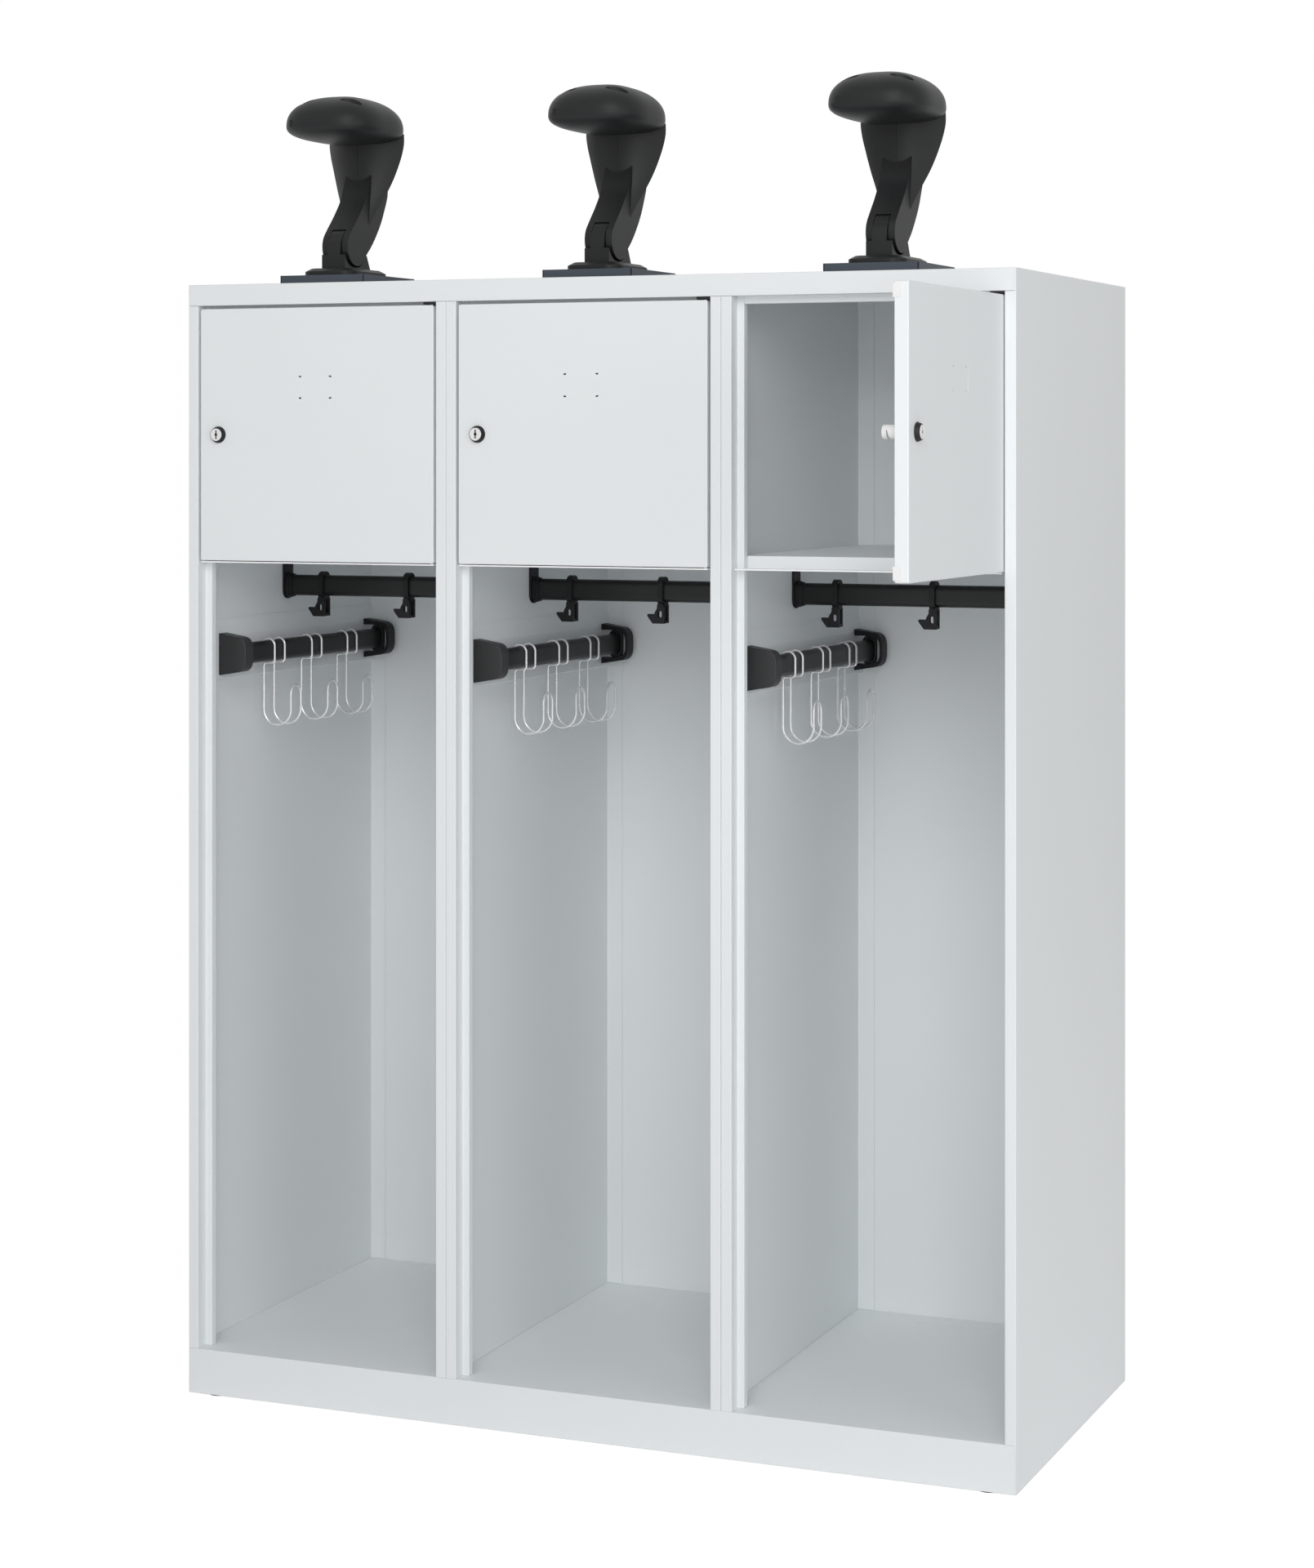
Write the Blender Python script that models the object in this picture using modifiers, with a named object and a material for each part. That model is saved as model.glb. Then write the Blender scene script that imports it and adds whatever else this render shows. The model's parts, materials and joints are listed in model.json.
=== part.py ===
"""Firefighter gear locker: three open compartments, each with a lockable top box and a helmet holder.

Metres, +Z up, the doors face -Y. The origin is on the floor, under the middle of the outline that the
locker fills with its right-hand door open. Heights are taken from the lower edge of the plinth and
depths from the front plane of the frame, and module_x() gives the middle of each compartment.
"""

import math

import bmesh
import bpy
from mathutils import Matrix, Vector

OBJECT_NAME = "firefighter_gear_locker"
CUTTERS_NAME = "cutters"

# Fits
CLEARANCE = 0.0003
OVERRUN = 0.004
MERGE_DISTANCE = 0.000001

# Carcass
MODULE_COUNT = 3
MODULE_WIDTH = 0.400
CARCASS_DEPTH = 0.500
CARCASS_HEIGHT = 1.530
SHEET = 0.001
PLINTH_HEIGHT = 0.0615
RAIL_HEIGHT = 0.029
POST_FACE = 0.015
FRAME_RETURN = 0.020
STOP_WIDTH = 0.0095
STOP_RETURN = 0.010
REAR_FLANGE = 0.025
PLINTH_RETURN = 0.022

# Vent slots in the floor
VENT_COUNT = 12
VENT_PITCH = 0.0176
VENT_WIDTH = 0.011
VENT_DEPTH = 0.012
VENT_FROM_REAR = 0.0325

# Levelling feet
FOOT_RADIUS = 0.015
FOOT_PROUD = 0.0015
FOOT_STUD_RADIUS = 0.004
FOOT_STUD_HEIGHT = 0.028
FOOT_INSET = 0.040
FOOT_SET_BACK = 0.0165

# Doors
DOOR_HEIGHT = 0.3465
DOOR_THICKNESS = 0.0176
DOOR_SIDE_GAP = 0.004
DOOR_TOP_GAP = 0.0045
DOOR_BOTTOM_GAP = 0.001
DOOR_CORNER_RADIUS = 0.003
DOOR_EDGE_RADIUS = 0.0015
DOOR_FLANGE = 0.014
DOOR_REST_DEG = (0.0, 0.0, 90.0)

# Door pivots, in from the front face and from the edge of the closed door
PIN_DEPTH = 0.008
PIN_EDGE = 0.0055
PIN_RADIUS = 0.0025
PIN_ENGAGEMENT = 0.010
HINGE_BLOCK_LENGTH = 0.0195
HINGE_BLOCK_DEPTH = 0.017
HINGE_BLOCK_INSET = 0.001
HINGE_BLOCK_RADIUS = 0.001
PIN_ABOVE_RAIL = 0.003

# Label slots in a door
LABEL_SLOT_LENGTH = 0.004
LABEL_SLOT_HEIGHT = 0.002
LABEL_SLOT_SPACING_X = 0.0468
LABEL_SLOT_SPACING_Z = 0.0293
LABEL_BELOW_DOOR_TOP = 0.1089

# Corner caps of a door
CAP_HEIGHT = 0.0165
CAP_SIDE_LENGTH = 0.009
CAP_REAR_LENGTH = 0.013
CAP_SIDE_THICKNESS = 0.0009
CAP_REAR_THICKNESS = 0.0016

# Lock
LOCK_FROM_EDGE = 0.0288
LOCK_RADIUS = 0.0085
LOCK_PROUD = 0.007
LOCK_BEHIND_DOOR = 0.019
LOCK_RING_RADIUS = 0.0115
LOCK_RING_TOP_RADIUS = 0.0094
LOCK_RING_FOOT = 0.0008
LOCK_RING_HEIGHT = 0.0063
KEYHOLE_RADIUS = 0.00235
KEY_SLOT_WIDTH = 0.002
KEY_SLOT_LENGTH = 0.012
KEY_SLOT_DEPTH = 0.0025
BARREL_NOTCH_WIDTH = 0.004
BARREL_NOTCH_RISE = 0.011
BARREL_NOTCH_FROM_END = 0.0016
CAM_THICKNESS = 0.0045
CAM_REACH = 0.027
CAM_TONGUE_WIDTH = 0.012

# Shelf under each top box
SHELF_FRONT_DEPTH = 0.031
SHELF_FRONT_HEIGHT = 0.016
SHELF_REAR_FOLD = 0.015
LIP_THICKNESS = 0.002
LIP_FRONT_DEPTH = 0.003
LIP_LEFT_GAP = 0.0026
LIP_RIGHT_GAP = 0.0048

# Oval tubes
TUBE_HEIGHT = 0.030
TUBE_WIDTH = 0.015
TUBE_WALL = 0.0015

# Coat rail and its hangers
COAT_RAIL_BEHIND_MIDDLE = 0.004
COAT_RAIL_BELOW_SHELF = 0.0596
HANGER_THICKNESS = 0.003
HANGER_WIDTH = 0.025
HANGER_CUP_LENGTH = 0.010
HANGER_CUP_WALL = 0.003
HANGER_BELOW_RAIL = 0.0199

# Clip hooks on the coat rail, placed from the middle of the compartment
CLIP_PLACES = (-0.1369, 0.0031)
CLIP_WIDTH = 0.0082
CLIP_BAND_SIDE = 0.0037
CLIP_BAND_END = 0.0052
CLIP_DROP = 0.0444
CLIP_EYE_DROP = 0.0315
CLIP_EYE_WIDTH = 0.0060
CLIP_EYE_HEIGHT = 0.0100
CLIP_PRONG_REACH = 0.0192
CLIP_PRONG_DEPTH = 0.006
CLIP_STRAP_THICKNESS = 0.0045
CLIP_BRIDGE_HEIGHT = 0.0035

# Backing strip on the left wall
STRIP_PROUD = 0.007
STRIP_BELOW_RAIL = 0.0355
STRIP_FLAT_HEIGHT = 0.0605
STRIP_SLOPE_HEIGHT = 0.0215

# Side rail and its brackets
SIDE_RAIL_BELOW_SHELF = 0.1490
SIDE_RAIL_FROM_STRIP = 0.0225
BRACKET_HEIGHT = 0.0590
BRACKET_REACH = 0.0432
BRACKET_LENGTH = 0.0202
BRACKET_ARM = 0.0091
BRACKET_SIDE = 0.0045
BRACKET_FACE = 0.003
BRACKET_EXPONENT = 4.0
FRONT_BRACKET_DEPTH = 0.0627
REAR_BRACKET_FROM_REAR = 0.0383
SOCKET_WIDTH = 0.0216
SOCKET_LENGTH = 0.006
SOCKET_SET_BACK = 0.002

# Wire hooks on the side rail, placed by shares of the run between its brackets
WIRE_PLACE_SHARES = (0.2299, 0.4979, 0.7643)
WIRE_RADIUS = 0.0015
WIRE_SPACING = 0.027
WIRE_SIDE_GAP = 0.0010
WIRE_UNDER_DROP = 0.0172
WIRE_BEND_RADIUS = 0.0050
WIRE_BACK_LENGTH = 0.022
WIRE_DROP = 0.1055
WIRE_HOOK_WIDTH = 0.044
WIRE_TIP_HEIGHT = 0.0425

# Helmet holder
PLATE_WIDTH = 0.131
PLATE_DEPTH = 0.140
PLATE_THICKNESS = 0.011
PLATE_FRONT_DEPTH = 0.018
PLATE_EDGE = 0.0006
FLANGE_WIDTH = 0.080
FLANGE_DEPTH = 0.110
FLANGE_CORNER = 0.020
FLANGE_HEIGHT = 0.010
FLANGE_CHAMFER_RISE = 0.0045
FLANGE_CHAMFER_WIDTH = 0.009
FLANGE_CENTRE_DEPTH = 0.082
BLOCK_WIDTH = 0.036
BLOCK_FRONT_DEPTH = 0.0485
BLOCK_HEIGHT = 0.0205
BLOCK_FOOT_LENGTH = 0.0695
BLOCK_SHOULDER_LENGTH = 0.0595
PIVOT_DEPTH = 0.079
PIVOT_RISE = 0.030
LUG_WIDTH = 0.020
LUG_RADIUS = 0.0267
LUG_ROOM = 0.0015
EAR_RADIUS = 0.0265
EAR_GAP = 0.001
EAR_FRONT_GAP = 0.0012
EAR_FRONT_SHIFT = 0.005
STEM_WIDTH = 0.040
PIVOT_PIN_RADIUS = 0.004
PIVOT_PIN_LENGTH = 0.034
STEM_RISE = 0.154
FUNNEL_HEIGHT = 0.121
FUNNEL_HALF_WIDTH = 0.060
FUNNEL_TIP_SET_BACK = 0.0318
FUNNEL_RIDGE_RUN = 0.0285
FUNNEL_FRONT_BULGE = 0.0275
FUNNEL_REAR_BULGE = 0.0210
HEAD_HALF_WIDTH = 0.0692
HEAD_HALF_LENGTH = 0.0775
HEAD_CENTRE_DEPTH = 0.0805
HEAD_RISE = 0.165
HEAD_CROWN = 0.0434
HEAD_UNDERSIDE = 0.0204
HEAD_PLAN_EXPONENT = 3.1
HEAD_CROWN_EXPONENT = 2.26
HEAD_UNDERSIDE_EXPONENT = 2.5
HEAD_VENT_LENGTH = 0.031
HEAD_VENT_WIDTH = 0.0135
HEAD_VENT_SPACING_X = 0.0738
HEAD_VENT_SPACING_Y = 0.0936
HEAD_VENT_FLOOR = 0.022
HEAD_HOLE_RADIUS = 0.005
HEAD_HOLE_OFFSET = 0.0436
HEAD_HOLE_RISE = 0.0025
HEAD_HOLE_DEPTH = 0.0095

# The arm of the stem, up its front and down its back, from the pivot, as shares of the stem's rise
ARM_FRONT_SHARES = (
    (-0.087, 0.163),
    (-0.037, 0.217),
    (0.045, 0.308),
    (0.140, 0.432),
    (0.195, 0.550),
    (0.258, 0.690),
    (0.344, 0.805),
)
ARM_BACK_SHARES = (
    (0.420, 0.805),
    (0.500, 0.715),
    (0.540, 0.620),
    (0.545, 0.535),
    (0.530, 0.468),
    (0.478, 0.355),
    (0.427, 0.256),
    (0.363, 0.162),
    (0.287, 0.067),
    (0.224, 0.000),
)
EAR_ARC_DEG = (-24.0, -221.0)

# The centre lug from the block's front up to its round top, from the pivot, as shares of its radius
LUG_FRONT_SHARES = (
    (0.600, -1.200),
    (-1.135, -1.200),
    (-1.135, -0.386),
    (-1.110, -0.200),
    (-1.070, 0.000),
    (-1.007, 0.273),
)
LUG_ARC_DEG = (153.0, -10.0)

# Sections of the funnel, from its tip up: height, half width and ridge run, each as a share of its size
FUNNEL_SHARES = (
    (0.000, 0.333, 0.000),
    (0.152, 0.445, 0.242),
    (0.284, 0.560, 0.456),
    (0.417, 0.678, 0.646),
    (0.549, 0.778, 0.789),
    (0.681, 0.865, 0.888),
    (0.813, 0.942, 0.947),
    (0.945, 0.990, 0.986),
    (1.060, 0.985, 1.000),
)
FUNNEL_TIP_BULGE_SHARE = 0.37

# The prong side of a clip hook, from the rail's centre: across as a share of the reach, down of the drop
CLIP_OUTLINE_SHARES = (
    (0.210, 0.360),
    (0.310, 0.440),
    (0.333, 0.540),
    (0.333, 1.000),
    (-0.578, 1.000),
    (-0.970, 0.780),
    (-1.000, 0.735),
    (-0.970, 0.703),
    (-0.540, 0.703),
    (-0.480, 0.745),
    (-0.425, 0.700),
    (-0.410, 0.655),
    (-0.340, 0.600),
    (-0.240, 0.540),
    (-0.220, 0.490),
    (-0.210, 0.360),
)
# The rim of a rail bracket from its arm at the wall to the middle of its side, as shares of its reach
# and of half its height
BRACKET_RIM_SHARES = (
    (0.000, 1.000),
    (0.694, 0.834),
    (0.787, 0.800),
    (0.868, 0.732),
    (0.931, 0.624),
    (0.972, 0.488),
    (0.995, 0.322),
    (1.000, 0.170),
)

# Facets
ROUND_STEPS = 20
WIDE_ROUND_STEPS = 32
PIN_STEPS = 12
TUBE_END_STEPS = 6
CORNER_STEPS = 4
FUNNEL_STEPS = 7
HEAD_SEGMENTS = 26
HEAD_RINGS = 12
BRACKET_STEPS = 16
HOOK_STEPS = 6
WIRE_BEND_STEPS = 1
SMOOTH_ANGLE_DEG = 35.0
ROUND = 0.5

# Colours: red, green, blue, roughness, metallic
POWDER_COAT = (0.66, 0.69, 0.70, 0.45, 0.0)
BLACK_PLASTIC = (0.016, 0.017, 0.018, 0.45, 0.0)
WHITE_PLASTIC = (0.82, 0.82, 0.80, 0.4, 0.0)
CHROME = (0.80, 0.80, 0.80, 0.15, 1.0)
SLATE_COAT = (0.095, 0.115, 0.140, 0.5, 0.0)

# Places worked out from the sizes above
HALF_SHEET = SHEET / 2
BASE_Z = FOOT_PROUD
FLOOR_Z = BASE_Z + PLINTH_HEIGHT
TOP_Z = BASE_Z + CARCASS_HEIGHT
RAIL_Z = TOP_Z - RAIL_HEIGHT
UNDER_TOP_Z = TOP_Z - SHEET - CLEARANCE
HALF_WIDTH = MODULE_COUNT * MODULE_WIDTH / 2
HALF_OPENING = MODULE_WIDTH / 2 - POST_FACE
WALL_INNER = MODULE_WIDTH / 2 - CLEARANCE / 2 - SHEET
DOOR_WIDTH = 2 * (HALF_OPENING - DOOR_SIDE_GAP)
DOOR_TOP_Z = RAIL_Z - DOOR_TOP_GAP
DOOR_BOTTOM_Z = DOOR_TOP_Z - DOOR_HEIGHT
LIP_Z = DOOR_BOTTOM_Z - DOOR_BOTTOM_GAP
SHELF_Z = LIP_Z + SHELF_FRONT_HEIGHT
PIN_X = DOOR_WIDTH / 2 - PIN_EDGE
SWING_ANGLE = math.radians(max(DOOR_REST_DEG))
SWING_LENGTH = DOOR_WIDTH - PIN_EDGE
DOOR_REACH = SWING_LENGTH * math.sin(SWING_ANGLE) + PIN_DEPTH * math.cos(SWING_ANGLE) - PIN_DEPTH
FRONT_Y = (max(DOOR_REACH, 0.0) - CARCASS_DEPTH) / 2
REAR_Y = FRONT_Y + CARCASS_DEPTH
BACK_PANEL_Y = REAR_Y - SHEET
FLANGE_Y = BACK_PANEL_Y - CLEARANCE - HALF_SHEET
LOCK_X = -DOOR_WIDTH / 2 + LOCK_FROM_EDGE
LOCK_Z = (DOOR_TOP_Z + DOOR_BOTTOM_Z) / 2
DOOR_REAR_Y = FRONT_Y + DOOR_THICKNESS
COAT_RAIL_Y = (FRONT_Y + REAR_Y) / 2 + COAT_RAIL_BEHIND_MIDDLE
COAT_RAIL_Z = SHELF_Z - COAT_RAIL_BELOW_SHELF
SIDE_RAIL_Z = SHELF_Z - SIDE_RAIL_BELOW_SHELF
FRONT_BRACKET_Y = FRONT_Y + FRONT_BRACKET_DEPTH
REAR_BRACKET_Y = REAR_Y - REAR_BRACKET_FROM_REAR
RAIL_RUN_Y = FRONT_BRACKET_Y + BRACKET_LENGTH
RAIL_RUN = REAR_BRACKET_Y - RAIL_RUN_Y
STRIP_FACE_X = -WALL_INNER + STRIP_PROUD
SIDE_RAIL_X = STRIP_FACE_X + SIDE_RAIL_FROM_STRIP
PLATE_Z = TOP_Z + CLEARANCE
HOLDER_FLANGE_Z = PLATE_Z + PLATE_THICKNESS + CLEARANCE
BLOCK_Z = HOLDER_FLANGE_Z + FLANGE_HEIGHT
PIVOT_Y = FRONT_Y + PIVOT_DEPTH
PIVOT_Z = BLOCK_Z + PIVOT_RISE
HEAD_Y = FRONT_Y + HEAD_CENTRE_DEPTH
HEAD_Z = PIVOT_Z + HEAD_RISE


# Scene helpers


def clear_scene():
    for obj in list(bpy.data.objects):
        bpy.data.objects.remove(obj)


def new_collection(name):
    group = bpy.data.collections.new(name)
    bpy.context.scene.collection.children.link(group)
    return group


def new_material(name, finish):
    red, green, blue, roughness, metallic = finish
    material = bpy.data.materials.new(name)
    material.use_nodes = True
    shader = material.node_tree.nodes["Principled BSDF"]
    shader.inputs["Base Color"].default_value = (red, green, blue, 1.0)
    shader.inputs["Roughness"].default_value = roughness
    shader.inputs["Metallic"].default_value = metallic
    return material


def add_part(name, mesh, finish):
    """Links a mesh or a curve to the object's collection under its own material."""
    mesh.name = name
    mesh.materials.clear()
    mesh.materials.append(new_material(name, finish))
    obj = bpy.data.objects.new(name, mesh)
    bpy.data.collections[OBJECT_NAME].objects.link(obj)
    return obj


def add_cutter(name, mesh):
    """Links a helper that the Booleans use and that is no part of the object."""
    obj = bpy.data.objects.new(name, mesh)
    obj.hide_render = True
    obj.display_type = "WIRE"
    bpy.data.collections[CUTTERS_NAME].objects.link(obj)
    return obj


def combine(obj, mesh, operation):
    """Cuts a mesh from the object, or joins it on, with a Boolean modifier."""
    helper = add_cutter(f"{obj.name}.{operation.lower()}", mesh)
    modifier = obj.modifiers.new(helper.name, "BOOLEAN")
    modifier.operation = operation
    modifier.object = helper
    if obj.parent:
        follow(helper, obj.parent)


def cut(obj, mesh):
    combine(obj, mesh, "DIFFERENCE")


def join(obj, mesh):
    combine(obj, mesh, "UNION")


def follow(obj, pivot):
    """Parents an object that is placed for the pivot's zero angle."""
    obj.parent = pivot
    obj.matrix_parent_inverse = Matrix.Translation(-pivot.location)


def set_origin(obj, point):
    """Moves the object's origin to a point and leaves its shape where it is."""
    obj.data.transform(Matrix.Translation(-Vector(point)))
    obj.location = point


def shade(obj):
    obj.data.shade_smooth()
    obj.data.set_sharp_from_angle(angle=math.radians(SMOOTH_ANGLE_DEG))


# Shape helpers


def finish_mesh(bm, name="shape"):
    bmesh.ops.remove_doubles(bm, verts=bm.verts, dist=MERGE_DISTANCE)
    bmesh.ops.recalc_face_normals(bm, faces=bm.faces)
    mesh = bpy.data.meshes.new(name)
    bm.to_mesh(mesh)
    bm.free()
    return mesh


def merged(meshes):
    """One mesh that holds separate bodies."""
    bm = bmesh.new()
    for mesh in meshes:
        bm.from_mesh(mesh)
    return finish_mesh(bm)


def box(low, high):
    """A box from its low corner to its high corner."""
    bm = bmesh.new()
    bmesh.ops.create_cube(bm, size=1.0)
    low, high = Vector(low), Vector(high)
    size = high - low
    bmesh.ops.scale(bm, vec=size, verts=bm.verts)
    bmesh.ops.translate(bm, vec=(low + high) / 2, verts=bm.verts)
    return finish_mesh(bm)


def cylinder(radius, centre, axis, low, high, steps=ROUND_STEPS):
    """A cylinder along an axis; the centre gives the two other coordinates in order."""
    ring = [
        (centre[0] + radius * math.cos(turn), centre[1] + radius * math.sin(turn))
        for turn in turns(steps)
    ]
    return prism([ring], axis, low, high)


def turns(steps):
    return [math.tau * step / steps for step in range(steps)]


PRISM_FRAMES = {
    "x": Matrix(((0, 0, 1, 0), (1, 0, 0, 0), (0, 1, 0, 0), (0, 0, 0, 1))),
    "y": Matrix(((1, 0, 0, 0), (0, 0, -1, 0), (0, 1, 0, 0), (0, 0, 0, 1))),
    "z": Matrix.Identity(4),
}
AXIS_VECTORS = {"x": Vector((1, 0, 0)), "y": Vector((0, 1, 0)), "z": Vector((0, 0, 1))}


def prism(rings, axis, low, high):
    """A flat outline, with any holes after it, run along an axis.

    The points of the outline are the two other coordinates, in order.
    """
    curve = bpy.data.curves.new("outline", "CURVE")
    curve.dimensions = "2D"
    curve.fill_mode = "BOTH"
    curve.extrude = (high - low) / 2
    for ring in rings:
        spline = curve.splines.new("POLY")
        spline.points.add(len(ring) - 1)
        for point, place in zip(spline.points, ring):
            point.co = (place[0], place[1], 0, 1)
        spline.use_cyclic_u = True
    holder = bpy.data.objects.new("outline", curve)
    bm = bmesh.new()
    bm.from_mesh(bpy.data.meshes.new_from_object(holder))
    bpy.data.objects.remove(holder)
    middle = AXIS_VECTORS[axis] * (low + high) / 2
    bmesh.ops.transform(bm, matrix=Matrix.Translation(middle) @ PRISM_FRAMES[axis], verts=bm.verts)
    return finish_mesh(bm)


def stadium(centre, width, height, steps=TUBE_END_STEPS):
    """An upright oval with round ends, as points round its edge."""
    radius = width / 2
    straight = height / 2 - radius
    points = []
    for side in (1, -1):
        for step in range(steps + 1):
            turn = math.pi * step / steps
            across = side * radius * math.cos(turn)
            up = side * (straight + radius * math.sin(turn))
            points.append((centre[0] + across, centre[1] + up))
    return points


def rounded_rectangle(centre, width, height, radius, steps=CORNER_STEPS):
    """A rectangle with round corners, as points round its edge."""
    points = []
    for quarter in range(4):
        start = quarter * math.pi / 2
        side_x = 1 if quarter in (0, 3) else -1
        side_y = 1 if quarter in (0, 1) else -1
        middle_x = centre[0] + side_x * (width / 2 - radius)
        middle_y = centre[1] + side_y * (height / 2 - radius)
        for step in range(steps + 1):
            turn = start + math.pi / 2 * step / steps
            points.append((middle_x + radius * math.cos(turn), middle_y + radius * math.sin(turn)))
    return points


def arc(centre, radius, start_deg, end_deg, steps):
    points = []
    for step in range(steps + 1):
        turn = math.radians(start_deg + (end_deg - start_deg) * step / steps)
        points.append((centre[0] + radius * math.cos(turn), centre[1] + radius * math.sin(turn)))
    return points


def turned(profile, centre, axis, steps=ROUND_STEPS):
    """A turned body. The profile holds a radius and a place along the axis for each point."""
    bm = bmesh.new()
    verts = [bm.verts.new((radius, 0, along)) for radius, along in profile]
    edges = [bm.edges.new(pair) for pair in zip(verts, verts[1:] + verts[:1])]
    bmesh.ops.spin(
        bm,
        geom=verts + edges,
        cent=(0, 0, 0),
        axis=AXIS_VECTORS["z"],
        angle=math.tau,
        steps=steps,
        use_merge=True,
    )
    bmesh.ops.transform(bm, matrix=Matrix.Translation(Vector(centre)) @ PRISM_FRAMES[axis], verts=bm.verts)
    drop_flat_edges(bm)
    return finish_mesh(bm)


def drop_flat_edges(bm):
    """Removes what is left of the profile's edge on the axis."""
    bmesh.ops.remove_doubles(bm, verts=bm.verts, dist=MERGE_DISTANCE)
    loose = [edge for edge in bm.edges if not edge.link_faces]
    bmesh.ops.delete(bm, geom=loose, context="EDGES")


def lofted(rings):
    """A closed body through rings of as many points each, capped at both ends."""
    bm = bmesh.new()
    loops = []
    for ring in rings:
        verts = [bm.verts.new(point) for point in ring]
        loops.append([bm.edges.new(pair) for pair in zip(verts, verts[1:] + verts[:1])])
    for below, above in zip(loops, loops[1:]):
        bmesh.ops.bridge_loops(bm, edges=below + above)
    for loop in (loops[0], loops[-1]):
        bmesh.ops.edgenet_fill(bm, edges=loop)
    return finish_mesh(bm)


def folded_sheet(name, line, axis, stations, skipped=()):
    """A sheet bent along a line and run through stations, without the skipped cells.

    The line is at mid thickness. A cell is the segment's number and the number of its station gap.
    """
    columns, rows = len(line) - 1, len(stations) - 1
    bm = bmesh.new()
    bmesh.ops.create_grid(bm, x_segments=columns, y_segments=rows, size=1.0)
    empty = [face for face in bm.faces if grid_cell(face.calc_center_median(), columns, rows) in skipped]
    bmesh.ops.delete(bm, geom=empty, context="FACES")
    for vert in bm.verts:
        column = round((vert.co.x + 1) / 2 * columns)
        row = round((vert.co.y + 1) / 2 * rows)
        flat = Vector((line[column][0], line[column][1], 0))
        vert.co = PRISM_FRAMES[axis].to_3x3() @ flat + AXIS_VECTORS[axis] * stations[row]
    obj = add_part(name, finish_mesh(bm), POWDER_COAT)
    solidify = obj.modifiers.new("sheet", "SOLIDIFY")
    solidify.thickness = SHEET
    solidify.offset = 0.0
    solidify.use_even_offset = True
    return obj


def grid_cell(middle, columns, rows):
    return int((middle.x + 1) / 2 * columns), int((middle.y + 1) / 2 * rows)


def module_x(module):
    return (module - (MODULE_COUNT - 1) / 2) * MODULE_WIDTH


def modules():
    return range(MODULE_COUNT)


# Carcass


def wall_line(side, skin_x, post_x, notch_y):
    """The plan of a folded wall, from its rear flange round the post to the door stop."""
    line = [
        (skin_x - side * REAR_FLANGE, FLANGE_Y),
        (skin_x, FLANGE_Y),
        (skin_x, notch_y),
        (skin_x, FRONT_Y + HALF_SHEET),
        (post_x, FRONT_Y + HALF_SHEET),
        (post_x, FRONT_Y + FRAME_RETURN + HALF_SHEET),
    ]
    if side < 0:
        stop_x = post_x + STOP_WIDTH
        line.append((stop_x, FRONT_Y + FRAME_RETURN + HALF_SHEET))
        line.append((stop_x, FRONT_Y + FRAME_RETURN + STOP_RETURN))
    return line


def make_wall(module, side):
    """One side wall of a module: the outermost ones close the carcass, the others stand on the floor."""
    outer = (module, side) in ((0, -1), (MODULE_COUNT - 1, 1))
    inset = HALF_SHEET if outer else HALF_SHEET + CLEARANCE / 2
    skin_x = module_x(module) + side * (MODULE_WIDTH / 2 - inset)
    post_x = module_x(module) + side * (HALF_OPENING + HALF_SHEET)
    line = wall_line(side, skin_x, post_x, FRONT_Y + FRAME_RETURN + SHEET)
    folds = range(3, len(line) - 1)
    stations = [FLOOR_Z + CLEARANCE, RAIL_Z - CLEARANCE, UNDER_TOP_Z]
    skipped = {(fold, 1) for fold in folds}
    if not outer:
        skipped.add((2, 1))
    if outer:
        stations = [BASE_Z, *stations, TOP_Z]
        skipped = {(fold, row) for fold in folds for row in (0, 2)}
        skipped |= {(column, 3) for column in (0, *folds)} | {(0, 0)}
    name = f"wall_{'left' if side < 0 else 'right'}_{module + 1}"
    wall = folded_sheet(name, line, "z", stations, skipped)
    if side < 0:
        join(wall, backing_strip(module))
    return wall


def make_back_panel():
    mesh = box((-HALF_WIDTH, BACK_PANEL_Y, BASE_Z), (HALF_WIDTH, REAR_Y, TOP_Z))
    return add_part("back_panel", mesh, POWDER_COAT)


def make_top_panel():
    """The top, the rail across its front and a door stop in each opening."""
    face_y = FRONT_Y + HALF_SHEET
    stop_y = FRONT_Y + FRAME_RETURN + HALF_SHEET
    stop_z = RAIL_Z - STOP_WIDTH + HALF_SHEET
    line = [
        (BACK_PANEL_Y - CLEARANCE, TOP_Z - HALF_SHEET),
        (face_y, TOP_Z - HALF_SHEET),
        (face_y, RAIL_Z + HALF_SHEET),
        (stop_y, RAIL_Z + HALF_SHEET),
        (stop_y, stop_z),
        (FRONT_Y + FRAME_RETURN + STOP_RETURN, stop_z),
    ]
    end = HALF_WIDTH - SHEET - CLEARANCE
    stations = [-end]
    for module in modules():
        stations.append(module_x(module) - HALF_OPENING + STOP_WIDTH + CLEARANCE)
        stations.append(module_x(module) + HALF_OPENING - CLEARANCE)
    stations.append(end)
    skipped = {(fold, row) for fold in (3, 4) for row in range(0, len(stations), 2)}
    top = folded_sheet("top_panel", line, "x", stations, skipped)
    cut(top, merged([pin_hole(module, RAIL_Z) for module in modules()]))
    return top


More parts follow.
